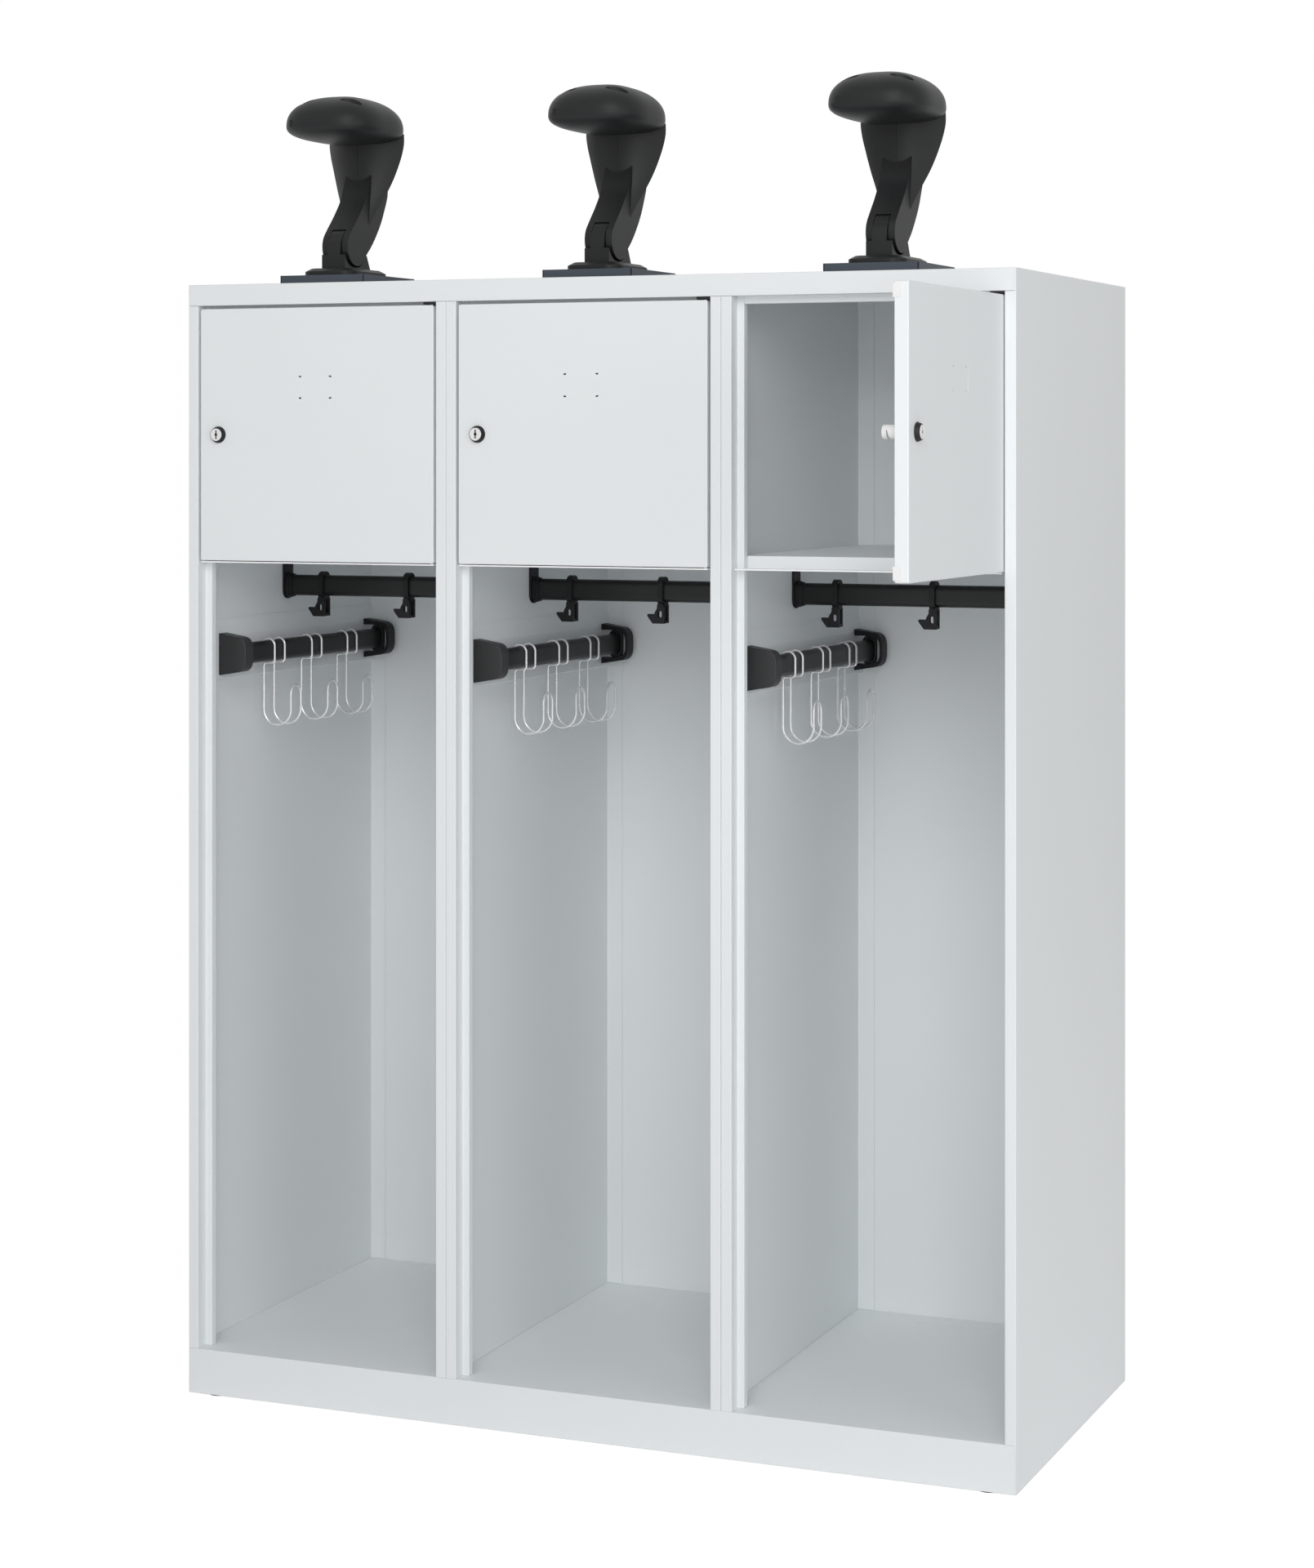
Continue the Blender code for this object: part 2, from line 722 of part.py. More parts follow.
def make_floor_panel():
    """The floor with the plinth folded down at its front and its rear."""
    low_z = BASE_Z + HALF_SHEET
    high_z = FLOOR_Z - HALF_SHEET
    face_y = FRONT_Y + HALF_SHEET
    line = [
        (FLANGE_Y - PLINTH_RETURN, low_z),
        (FLANGE_Y, low_z),
        (FLANGE_Y, high_z),
        (face_y, high_z),
        (face_y, low_z),
        (face_y + PLINTH_RETURN, low_z),
    ]
    end = HALF_WIDTH - SHEET - CLEARANCE
    floor = folded_sheet("floor_panel", line, "x", [-end, end])
    cut(floor, merged([vent_slot(module, slot) for module in modules() for slot in range(VENT_COUNT)]))
    join(floor, merged([levelling_foot(x, y) for x, y in foot_places()]))
    return floor


def vent_slot(module, slot):
    middle = module_x(module) + (slot - (VENT_COUNT - 1) / 2) * VENT_PITCH
    middle_y = REAR_Y - VENT_FROM_REAR
    return box(
        (middle - VENT_WIDTH / 2, middle_y - VENT_DEPTH / 2, FLOOR_Z - OVERRUN),
        (middle + VENT_WIDTH / 2, middle_y + VENT_DEPTH / 2, FLOOR_Z + OVERRUN),
    )


def foot_places():
    """The feet stand under the corners of the plinth's lower flanges."""
    across = HALF_WIDTH - FOOT_INSET
    front = FRONT_Y + FOOT_SET_BACK
    rear = FLANGE_Y - FOOT_SET_BACK
    return [(x, y) for x in (-across, across) for y in (front, rear)]


def levelling_foot(x, y):
    """A disc under the plinth's lower flange on a stud that stands up through it."""
    disc_top = BASE_Z + HALF_SHEET
    profile = [
        (0, FOOT_STUD_HEIGHT),
        (FOOT_STUD_RADIUS, FOOT_STUD_HEIGHT),
        (FOOT_STUD_RADIUS, disc_top),
        (FOOT_RADIUS, disc_top),
        (FOOT_RADIUS, 0),
        (0, 0),
    ]
    return turned(profile, (x, y, 0), "z")


def make_shelf(module):
    """The floor of a top box, folded down at the front, with the lip that carries the door on a pin."""
    middle = module_x(module)
    half = WALL_INNER - CLEARANCE
    fold_y = FRONT_Y + SHELF_FRONT_DEPTH + HALF_SHEET
    rear_y = FLANGE_Y - SHEET - CLEARANCE
    top_z = SHELF_Z - HALF_SHEET
    line = [
        (rear_y, SHELF_Z - SHELF_REAR_FOLD),
        (rear_y, top_z),
        (fold_y, top_z),
        (fold_y, LIP_Z - LIP_THICKNESS),
    ]
    shelf = folded_sheet(f"shelf_{module + 1}", line, "x", [middle - half, middle + half])
    left = middle - HALF_OPENING
    notch_x = left + STOP_WIDTH + CLEARANCE
    notch_y = FRONT_Y + FRAME_RETURN - CLEARANCE
    front_y = FRONT_Y + LIP_FRONT_DEPTH
    right = middle + HALF_OPENING - LIP_RIGHT_GAP
    outline = [
        (left + LIP_LEFT_GAP, front_y),
        (right, front_y),
        (right, fold_y),
        (notch_x, fold_y),
        (notch_x, notch_y),
        (left + LIP_LEFT_GAP, notch_y),
    ]
    join(shelf, prism([outline], "z", LIP_Z - LIP_THICKNESS, LIP_Z))
    join(shelf, hinge_pin(module, LIP_Z - LIP_THICKNESS / 2, DOOR_BOTTOM_Z + PIN_ENGAGEMENT))
    return shelf


# Doors


def pin_place(module):
    return module_x(module) + PIN_X, FRONT_Y + PIN_DEPTH


def pin_hole(module, height):
    low, high = height - OVERRUN, height + OVERRUN
    return cylinder(PIN_RADIUS + CLEARANCE, pin_place(module), "z", low, high, PIN_STEPS)


def hinge_pin(module, low, high):
    return cylinder(PIN_RADIUS, pin_place(module), "z", low, high, PIN_STEPS)


def make_hinge_block(module):
    """The black block over the hinge corner of a door, with the upper pin through it."""
    right = module_x(module) + HALF_OPENING - CLEARANCE
    front = FRONT_Y + HINGE_BLOCK_INSET
    centre = (right - HINGE_BLOCK_LENGTH / 2, front + HINGE_BLOCK_DEPTH / 2)
    outline = rounded_rectangle(centre, HINGE_BLOCK_LENGTH, HINGE_BLOCK_DEPTH, HINGE_BLOCK_RADIUS)
    low = DOOR_TOP_Z + 2 * CLEARANCE
    mesh = prism([outline], "z", low, RAIL_Z - CLEARANCE)
    block = add_part(f"hinge_block_{module + 1}", mesh, BLACK_PLASTIC)
    join(block, hinge_pin(module, DOOR_TOP_Z - PIN_ENGAGEMENT, RAIL_Z + PIN_ABOVE_RAIL))
    return block


def door_outline(middle, inset, radius):
    """The face of a door in the plane of the front, in from its edges."""
    centre = (middle, (DOOR_TOP_Z + DOOR_BOTTOM_Z) / 2)
    return rounded_rectangle(centre, DOOR_WIDTH - 2 * inset, DOOR_HEIGHT - 2 * inset, radius)


def door_body(middle):
    """A closed slab with round corners, its front edges softened."""
    outline = door_outline(middle, 0, DOOR_CORNER_RADIUS)
    bm = bmesh.new()
    bm.from_mesh(prism([outline], "y", FRONT_Y, DOOR_REAR_Y))
    bmesh.ops.dissolve_limit(bm, angle_limit=math.radians(1), verts=bm.verts, edges=bm.edges)
    near = FRONT_Y + MERGE_DISTANCE
    front = [edge for edge in bm.edges if all(vert.co.y < near for vert in edge.verts)]
    bmesh.ops.bevel(bm, geom=front, offset=DOOR_EDGE_RADIUS, segments=2, profile=ROUND, affect="EDGES")
    return finish_mesh(bm)


def door_hollows(middle):
    """The space inside a door and the opening that the flange round its back leaves."""
    inner = door_outline(middle, SHEET, DOOR_CORNER_RADIUS - SHEET)
    opening = door_outline(middle, DOOR_FLANGE, DOOR_CORNER_RADIUS)
    back = DOOR_REAR_Y - SHEET
    room = prism([inner], "y", FRONT_Y + SHEET, back)
    return room, prism([opening], "y", back - SHEET, DOOR_REAR_Y + OVERRUN)


def label_slots(middle):
    slots = []
    centre_z = DOOR_TOP_Z - LABEL_BELOW_DOOR_TOP
    for side_x in (-1, 1):
        for side_z in (-1, 1):
            x = middle + side_x * LABEL_SLOT_SPACING_X / 2
            z = centre_z + side_z * LABEL_SLOT_SPACING_Z / 2
            low = (x - LABEL_SLOT_LENGTH / 2, FRONT_Y - OVERRUN, z - LABEL_SLOT_HEIGHT / 2)
            high = (x + LABEL_SLOT_LENGTH / 2, FRONT_Y + OVERRUN, z + LABEL_SLOT_HEIGHT / 2)
            slots.append(box(low, high))
    return slots


def lock_place(module):
    return module_x(module) + LOCK_X, LOCK_Z


def door_caps(module):
    """Caps clipped round the rear corners of the door's free edge."""
    edge_x = module_x(module) - DOOR_WIDTH / 2
    rear_y = DOOR_REAR_Y + CAP_REAR_THICKNESS
    outer_x = edge_x - CAP_SIDE_THICKNESS
    outline = [
        (outer_x, rear_y),
        (outer_x, DOOR_REAR_Y - CAP_SIDE_LENGTH),
        (edge_x + HALF_SHEET, DOOR_REAR_Y - CAP_SIDE_LENGTH),
        (edge_x + HALF_SHEET, DOOR_REAR_Y - HALF_SHEET),
        (outer_x + CAP_REAR_LENGTH, DOOR_REAR_Y - HALF_SHEET),
        (outer_x + CAP_REAR_LENGTH, rear_y),
    ]
    low = DOOR_BOTTOM_Z + DOOR_CORNER_RADIUS
    high = DOOR_TOP_Z - DOOR_CORNER_RADIUS
    return [prism([outline], "z", low, low + CAP_HEIGHT), prism([outline], "z", high - CAP_HEIGHT, high)]


def lock_ring(module):
    """The conical ring round the lock, closed until the lock's hole is cut through it."""
    x, z = lock_place(module)
    profile = [
        (0, LOCK_RING_HEIGHT),
        (LOCK_RING_TOP_RADIUS, LOCK_RING_HEIGHT),
        (LOCK_RING_RADIUS, LOCK_RING_FOOT),
        (LOCK_RING_RADIUS, -HALF_SHEET),
        (0, -HALF_SHEET),
    ]
    return turned(profile, (x, FRONT_Y, z), "y")


def make_door(module, pivot):
    """A folded door pan with its corner caps and the ring of its lock."""
    middle = module_x(module)
    door = add_part(f"door_{module + 1}", door_body(middle), POWDER_COAT)
    follow(door, pivot)
    for hollow in door_hollows(middle):
        cut(door, hollow)
    join(door, merged([*door_caps(module), lock_ring(module)]))
    lock_hole = cylinder(
        LOCK_RADIUS + CLEARANCE,
        lock_place(module),
        "y",
        FRONT_Y - LOCK_RING_HEIGHT - OVERRUN,
        FRONT_Y + OVERRUN,
    )
    holes = [*label_slots(middle), lock_hole]
    holes += [pin_hole(module, DOOR_TOP_Z), pin_hole(module, DOOR_BOTTOM_Z)]
    cut(door, merged(holes))
    shade(door)
    return door


def keyway(x, z):
    """The slot for the key with a round hole at its middle."""
    front = FRONT_Y - LOCK_PROUD
    half = KEY_SLOT_WIDTH / 2
    low = (x - half, front - OVERRUN, z - KEY_SLOT_LENGTH / 2)
    high = (x + half, front + KEY_SLOT_DEPTH, z + KEY_SLOT_LENGTH / 2)
    hole = cylinder(KEYHOLE_RADIUS, (x, z), "y", front - OVERRUN, front + 2 * KEY_SLOT_DEPTH)
    return box(low, high), hole


def barrel_notch(x, z):
    """The tapered notch cut up into the barrel near its inner end."""
    end = DOOR_REAR_Y + LOCK_BEHIND_DOOR - BARREL_NOTCH_FROM_END
    low = z - LOCK_RADIUS - OVERRUN
    tip = z - LOCK_RADIUS + BARREL_NOTCH_RISE
    narrow = BARREL_NOTCH_WIDTH / 4
    outline = [(end, low), (end, tip), (end - narrow, tip), (end - BARREL_NOTCH_WIDTH, low)]
    return prism([outline], "x", x - 2 * LOCK_RADIUS, x + 2 * LOCK_RADIUS)


def cam_mesh(x, z):
    """The latch plate on the barrel's end, its tongue turned to the hinge side: unlocked."""
    half = CAM_TONGUE_WIDTH / 2
    open_deg = math.degrees(math.asin(half / LOCK_RADIUS))
    outline = arc((x, z), LOCK_RADIUS, open_deg, 360 - open_deg, ROUND_STEPS)
    outline += arc((x + CAM_REACH - half, z), half, -90, 90, CORNER_STEPS)
    barrel_end = DOOR_REAR_Y + LOCK_BEHIND_DOOR
    return prism([outline], "y", barrel_end - HALF_SHEET, barrel_end + CAM_THICKNESS)


def make_lock_barrel(module, pivot):
    """The lock's barrel through the door, turned by a key, with the latch plate on its end."""
    x, z = lock_place(module)
    profile = [
        (0, LOCK_PROUD),
        (LOCK_RADIUS, LOCK_PROUD),
        (LOCK_RADIUS, -DOOR_THICKNESS - LOCK_BEHIND_DOOR),
        (0, -DOOR_THICKNESS - LOCK_BEHIND_DOOR),
    ]
    mesh = turned(profile, (x, FRONT_Y, z), "y")
    barrel = add_part(f"lock_barrel_{module + 1}", mesh, WHITE_PLASTIC)
    set_origin(barrel, (x, FRONT_Y, z))
    shade(barrel)
    follow(barrel, pivot)
    join(barrel, cam_mesh(x, z))
    for shape in (*keyway(x, z), barrel_notch(x, z)):
        cut(barrel, shape)
    return barrel


def make_door_set(module):
    """A door with all that it carries, turned about its pins to its angle at rest."""
    pivot = bpy.data.objects.new(f"door_pivot_{module + 1}", None)
    bpy.data.collections[CUTTERS_NAME].objects.link(pivot)
    x, y = pin_place(module)
    pivot.location = (x, y, DOOR_BOTTOM_Z)
    make_door(module, pivot)
    make_lock_barrel(module, pivot)
    pivot.rotation_euler.z = math.radians(DOOR_REST_DEG[module % len(DOOR_REST_DEG)])


# Coat rails


def tube(centre, axis, low, high):
    outer = stadium(centre, TUBE_WIDTH, TUBE_HEIGHT)
    inner = stadium(centre, TUBE_WIDTH - 2 * TUBE_WALL, TUBE_HEIGHT - 2 * TUBE_WALL)
    return prism([outer, inner], axis, low, high)


def hanger_strap(module, side):
    """A strap down the wall from the shelf to under the rail, with a hole where the tube ends."""
    wall = module_x(module) + side * (WALL_INNER - CLEARANCE)
    inner = wall - side * HANGER_THICKNESS
    radius = HANGER_WIDTH / 2
    middle = (COAT_RAIL_Y, COAT_RAIL_Z - HANGER_BELOW_RAIL + radius)
    outline = arc(middle, radius, 180, 360, 2 * CORNER_STEPS)
    top = SHELF_Z - SHEET - CLEARANCE
    outline += [(COAT_RAIL_Y + radius, top), (COAT_RAIL_Y - radius, top)]
    hole = stadium((COAT_RAIL_Y, COAT_RAIL_Z), TUBE_WIDTH - 3 * TUBE_WALL, TUBE_HEIGHT - 3 * TUBE_WALL)
    return prism([outline, hole], "x", min(wall, inner), max(wall, inner))


def hanger_cup(module, side):
    """The cup round the end of the coat rail, which grips the tube."""
    root = module_x(module) + side * (WALL_INNER - HANGER_THICKNESS / 2)
    mouth = root - side * (HANGER_CUP_LENGTH + HANGER_THICKNESS / 2)
    centre = (COAT_RAIL_Y, COAT_RAIL_Z)
    rings = [
        stadium(centre, TUBE_WIDTH + 2 * HANGER_CUP_WALL, TUBE_HEIGHT + 2 * HANGER_CUP_WALL),
        stadium(centre, TUBE_WIDTH - TUBE_WALL, TUBE_HEIGHT - TUBE_WALL),
    ]
    return prism(rings, "x", min(root, mouth), max(root, mouth))


def make_coat_rail(module):
    """The oval rail from wall to wall with the hangers on its ends."""
    middle = module_x(module)
    half = WALL_INNER - HANGER_THICKNESS / 2
    mesh = tube((COAT_RAIL_Y, COAT_RAIL_Z), "x", middle - half, middle + half)
    rail = add_part(f"coat_rail_{module + 1}", mesh, BLACK_PLASTIC)
    shade(rail)
    for shape in (hanger_cup, hanger_strap):
        join(rail, merged([shape(module, side) for side in (-1, 1)]))
    return rail


def make_clip_hook(module, place, letter):
    """A plastic hook whose band slides on the coat rail, with a prong to one side and a strap behind."""
    middle = module_x(module) + place
    centre = (COAT_RAIL_Y, COAT_RAIL_Z)
    width = TUBE_WIDTH + 2 * (CLEARANCE + CLIP_BAND_SIDE)
    height = TUBE_HEIGHT + 2 * (CLEARANCE + CLIP_BAND_END)
    rings = [
        stadium(centre, width, height),
        stadium(centre, TUBE_WIDTH + 2 * CLEARANCE, TUBE_HEIGHT + 2 * CLEARANCE),
    ]
    band = prism(rings, "x", middle - CLIP_WIDTH / 2, middle + CLIP_WIDTH / 2)
    hook = add_part(f"clip_hook_{module + 1}{letter}", band, BLACK_PLASTIC)
    front = COAT_RAIL_Y - width / 2
    rear = COAT_RAIL_Y + width / 2
    outline = [
        (middle + across * CLIP_PRONG_REACH, COAT_RAIL_Z - down * CLIP_DROP)
        for across, down in CLIP_OUTLINE_SHARES
    ]
    eye = stadium((middle, COAT_RAIL_Z - CLIP_EYE_DROP), CLIP_EYE_WIDTH, CLIP_EYE_HEIGHT)
    join(hook, prism([outline, eye], "y", front, front + CLIP_PRONG_DEPTH))
    low = COAT_RAIL_Z - CLIP_DROP
    half = CLIP_WIDTH / 2 - CLEARANCE
    strap_top = COAT_RAIL_Z - height / 2 + CLIP_BAND_END / 2
    join(hook, box((middle - half, rear - CLIP_STRAP_THICKNESS, low), (middle + half, rear, strap_top)))
    bridge_high = (middle + half, rear - HALF_SHEET, low + CLIP_BRIDGE_HEIGHT)
    join(hook, box((middle - half, front + CLIP_PRONG_DEPTH / 2, low), bridge_high))
    set_origin(hook, (middle, COAT_RAIL_Y, COAT_RAIL_Z))
    shade(hook)
    return hook


# Side rails


def backing_strip(module):
    """A pressed strip along the left wall, proud below a slope, that backs the side rail."""
    low = SIDE_RAIL_Z - STRIP_BELOW_RAIL
    flat_top = low + STRIP_FLAT_HEIGHT
    wall = module_x(module) - WALL_INNER - HALF_SHEET
    face = module_x(module) + STRIP_FACE_X
    outline = [
        (wall, low),
        (face, low),
        (face, flat_top),
        (wall + SHEET, flat_top + STRIP_SLOPE_HEIGHT),
        (wall, flat_top + STRIP_SLOPE_HEIGHT),
        (wall, flat_top + STRIP_SLOPE_HEIGHT - 2 * SHEET),
        (face - SHEET, flat_top - HALF_SHEET),
        (face - SHEET, low + SHEET),
        (wall, low + SHEET),
    ]
    front = FRONT_Y + FRAME_RETURN + STOP_RETURN + SHEET
    return prism([outline], "y", front, FLANGE_Y - SHEET)


def side_rail_centre(module):
    return module_x(module) + SIDE_RAIL_X, SIDE_RAIL_Z


def make_side_rail(module):
    front = FRONT_BRACKET_Y + BRACKET_FACE + CLEARANCE
    socket_end = REAR_BRACKET_Y + SOCKET_SET_BACK + SOCKET_LENGTH
    rear = socket_end - BRACKET_FACE - CLEARANCE
    mesh = tube(side_rail_centre(module), "y", front, rear)
    rail = add_part(f"side_rail_{module + 1}", mesh, BLACK_PLASTIC)
    shade(rail)
    return rail


def bracket_rim(module):
    """The outer side view of a bracket: straight arms that taper from the wall to a rounded side."""
    left = module_x(module) + STRIP_FACE_X + CLEARANCE
    upper = [
        (left + across * BRACKET_REACH, SIDE_RAIL_Z + up * BRACKET_HEIGHT / 2)
        for across, up in BRACKET_RIM_SHARES
    ]
    lower = [(x, 2 * SIDE_RAIL_Z - z) for x, z in upper]
    return lower + upper[::-1]


def bracket_opening(module, inset_side, inset_arm, start):
    """Half a rounded rectangle that opens to the wall, as a superellipse, in from the bracket's size."""
    left = module_x(module) + STRIP_FACE_X + CLEARANCE
    reach = BRACKET_REACH - inset_side
    half = BRACKET_HEIGHT / 2 - inset_arm
    power = 2 / BRACKET_EXPONENT
    points = [(left + start, SIDE_RAIL_Z - half)]
    for step in range(BRACKET_STEPS + 1):
        turn = math.pi * (step / BRACKET_STEPS - 0.5)
        across = reach * math.cos(turn) ** power if abs(turn) < math.pi / 2 else 0
        up = math.copysign(half * abs(math.sin(turn)) ** power, turn)
        points.append((left + max(across, start), SIDE_RAIL_Z + up))
    points.append((left + start, SIDE_RAIL_Z + half))
    return clean_ring(points)


def clean_ring(points):
    """The points without neighbours that lie on each other."""
    kept = []
    for point in points:
        if not kept or math.dist(point, kept[-1]) > MERGE_DISTANCE:
            kept.append(point)
    while math.dist(kept[0], kept[-1]) < MERGE_DISTANCE:
        kept.pop()
    return kept


def rail_bore(module, low, high):
    bore = stadium(side_rail_centre(module), TUBE_WIDTH + 2 * CLEARANCE, TUBE_HEIGHT + 2 * CLEARANCE)
    return prism([bore], "y", low, high)


def make_front_bracket(module):
    """A bracket whose outer face is closed and whose rim faces along the rail."""
    low = FRONT_BRACKET_Y
    high = RAIL_RUN_Y
    body = prism([bracket_rim(module)], "y", low, high)
    bracket = add_part(f"side_rail_front_bracket_{module + 1}", body, BLACK_PLASTIC)
    inner = bracket_opening(module, BRACKET_SIDE, BRACKET_ARM, -OVERRUN)
    height = BRACKET_HEIGHT - 2 * BRACKET_ARM - 2 * SHEET
    boss = stadium(side_rail_centre(module), SOCKET_WIDTH, height)
    pocket = prism([inner, boss], "y", low + BRACKET_FACE, high + OVERRUN)
    cut(bracket, merged([pocket, rail_bore(module, low + BRACKET_FACE, high + OVERRUN)]))
    return bracket


def make_rear_bracket(module):
    """A bracket open right through, with the rail's socket held between its arms."""
    low = REAR_BRACKET_Y
    outer = bracket_rim(module)
    inner = bracket_opening(module, BRACKET_SIDE, BRACKET_ARM, 0)
    frame = prism([outer + list(reversed(inner))], "y", low, low + BRACKET_LENGTH)
    bracket = add_part(f"side_rail_rear_bracket_{module + 1}", frame, BLACK_PLASTIC)
    start = low + SOCKET_SET_BACK
    end = start + SOCKET_LENGTH
    height = BRACKET_HEIGHT - 2 * BRACKET_ARM + 2 * SHEET
    disc = stadium(side_rail_centre(module), SOCKET_WIDTH, height)
    join(bracket, prism([disc], "y", start, end))
    cut(bracket, rail_bore(module, start - OVERRUN, end - BRACKET_FACE))
    return bracket


def wire_half(x, z, side):
    """One wire of a hook, from its end behind the rail, over and under it, then down and round the hook."""
    rail_side = TUBE_WIDTH / 2 + WIRE_SIDE_GAP + WIRE_RADIUS
    top = z + TUBE_HEIGHT / 2 + CLEARANCE + WIRE_RADIUS
    under = z - WIRE_UNDER_DROP
    leg = x - TUBE_WIDTH / 2
    bend = WIRE_BEND_RADIUS
    steps = WIRE_BEND_STEPS
    flat = [(x - rail_side, top - WIRE_BACK_LENGTH)]
    flat += arc((x - rail_side + bend, top - bend), bend, 180, 90, steps)
    flat += arc((x + rail_side - bend, top - bend), bend, 90, 0, steps)
    flat += arc((x + rail_side - bend, under + bend), bend, 0, -90, steps)
    flat += arc((leg + bend, under - bend), bend, 90, 180, steps)
    half = WIRE_HOOK_WIDTH / 2
    flat += arc((leg + half, z - WIRE_DROP + half), half, 180, 360, HOOK_STEPS)
    return [(across, side * WIRE_SPACING / 2, up) for across, up in flat]


def wire_points(x, z):
    """Both wires of a hook and the arc that joins their tips."""
    first = wire_half(x, z, -1)
    last = wire_half(x, z, 1)
    tip_x = first[-1][0]
    bend = WIRE_SPACING / 2
    rise = z - WIRE_DROP + WIRE_TIP_HEIGHT
    cross = [(tip_x, along, up) for along, up in arc((0, rise), bend, 180, 0, CORNER_STEPS)]
    return first + cross + list(reversed(last))


def make_wire_hook(module, share, letter):
    """A double wire hook that slides on the side rail."""
    x, z = side_rail_centre(module)
    curve = bpy.data.curves.new("wire", "CURVE")
    curve.dimensions = "3D"
    curve.bevel_depth = WIRE_RADIUS
    curve.bevel_resolution = 2
    curve.use_fill_caps = True
    points = wire_points(x, z)
    spline = curve.splines.new("POLY")
    spline.points.add(len(points) - 1)
    origin = Vector((x, RAIL_RUN_Y + share * RAIL_RUN, z))
    for point, (across, along, up) in zip(spline.points, points):
        point.co = (across - origin.x, along, up - origin.z, 1)
    obj = add_part(f"wire_hook_{module + 1}{letter}", curve, CHROME)
    obj.location = origin
    return obj


# Helmet holders


def make_helmet_plate(module):
    front = FRONT_Y + PLATE_FRONT_DEPTH
    middle = module_x(module)
    low = (middle - PLATE_WIDTH / 2, front, PLATE_Z)
    high = (middle + PLATE_WIDTH / 2, front + PLATE_DEPTH, PLATE_Z + PLATE_THICKNESS)
    plate = add_part(f"helmet_plate_{module + 1}", box(low, high), SLATE_COAT)
    bevel = plate.modifiers.new("edges", "BEVEL")
    bevel.width = PLATE_EDGE
    bevel.segments = 1
    return plate


def holder_flange(middle):
    """The round-cornered foot of a holder, chamfered round its top."""
    centre = (middle, FRONT_Y + FLANGE_CENTRE_DEPTH)
    shoulder = FLANGE_HEIGHT - FLANGE_CHAMFER_RISE
    rings = []
    for height, inset in ((0, 0), (shoulder, 0), (FLANGE_HEIGHT, FLANGE_CHAMFER_WIDTH)):
        width, depth = FLANGE_WIDTH - 2 * inset, FLANGE_DEPTH - 2 * inset
        outline = rounded_rectangle(centre, width, depth, FLANGE_CORNER - inset)
        rings.append([(x, y, HOLDER_FLANGE_Z + height) for x, y in outline])
    return lofted(rings)


def holder_block(middle):
    front = FRONT_Y + BLOCK_FRONT_DEPTH
    root = BLOCK_Z - FLANGE_CHAMFER_RISE / 2
    shoulder = BLOCK_Z + BLOCK_HEIGHT
    outline = [
        (front, root),
        (front + BLOCK_FOOT_LENGTH, root),
        (front + BLOCK_FOOT_LENGTH, BLOCK_Z),
        (front + BLOCK_SHOULDER_LENGTH, shoulder),
        (front, shoulder),
    ]
    return prism([outline], "x", middle - BLOCK_WIDTH / 2, middle + BLOCK_WIDTH / 2)


def ear_room(middle, side):
    """The space that an ear of the stem turns in, wider in front."""
    near = middle + side * (LUG_WIDTH / 2 - CLEARANCE)
    far = middle + side * (STEM_WIDTH / 2 + OVERRUN)
    steps = WIDE_ROUND_STEPS // 2
    outline = arc((PIVOT_Y, PIVOT_Z), EAR_RADIUS + EAR_GAP, -90, 90, steps)
    outline += arc((PIVOT_Y - EAR_FRONT_SHIFT, PIVOT_Z), EAR_RADIUS + EAR_FRONT_GAP, 90, 270, steps)
    return prism([outline], "x", min(near, far), max(near, far))


def holder_lug(middle):
    """The centre lug between the stem's ears, its front running down into the block's."""
    outline = [(PIVOT_Y + along * LUG_RADIUS, PIVOT_Z + up * LUG_RADIUS) for along, up in LUG_FRONT_SHARES]
    start, end = LUG_ARC_DEG
    outline += arc((PIVOT_Y, PIVOT_Z), LUG_RADIUS, start, end, ROUND_STEPS // 2)
    return prism([outline], "x", middle - LUG_WIDTH / 2, middle + LUG_WIDTH / 2)


def pivot_pin(middle):
    half = PIVOT_PIN_LENGTH / 2
    return cylinder(PIVOT_PIN_RADIUS, (PIVOT_Y, PIVOT_Z), "x", middle - half, middle + half, PIN_STEPS)


def make_helmet_foot(module):
    """Flange, block and centre lug of a holder, with the pin that its stem folds on."""
    middle = module_x(module)
    foot = add_part(f"helmet_foot_{module + 1}", holder_flange(middle), BLACK_PLASTIC)
    join(foot, holder_block(middle))
    cut(foot, merged([ear_room(middle, side) for side in (-1, 1)]))
    join(foot, holder_lug(middle))
    join(foot, pivot_pin(middle))
    shade(foot)
    return foot


def arm_outline():
    """The side view of the stem's arm and its round ears."""
    points = [
        (PIVOT_Y + along * STEM_RISE, PIVOT_Z + up * STEM_RISE)
        for along, up in ARM_FRONT_SHARES + ARM_BACK_SHARES
    ]
    start, end = EAR_ARC_DEG
    return points + arc((PIVOT_Y, PIVOT_Z), EAR_RADIUS, start, end, ROUND_STEPS // 2)


def funnel_mesh(middle, grow=0.0):
    """The lens-shaped upper part of the stem, through sections with sharp side ridges."""
    base_z = PIVOT_Z + STEM_RISE - FUNNEL_HEIGHT + grow
    rings = []
    for height, width, run in FUNNEL_SHARES:
        bulge = FUNNEL_TIP_BULGE_SHARE + (1 - FUNNEL_TIP_BULGE_SHARE) * height
        ridge = PIVOT_Y + FUNNEL_TIP_SET_BACK + run * FUNNEL_RIDGE_RUN
        half = width * FUNNEL_HALF_WIDTH + 2 * grow
        section = funnel_section(middle, half, ridge, bulge, grow)
        rings.append([(x, y, base_z + height * FUNNEL_HEIGHT) for x, y in section])
    return lofted(rings)


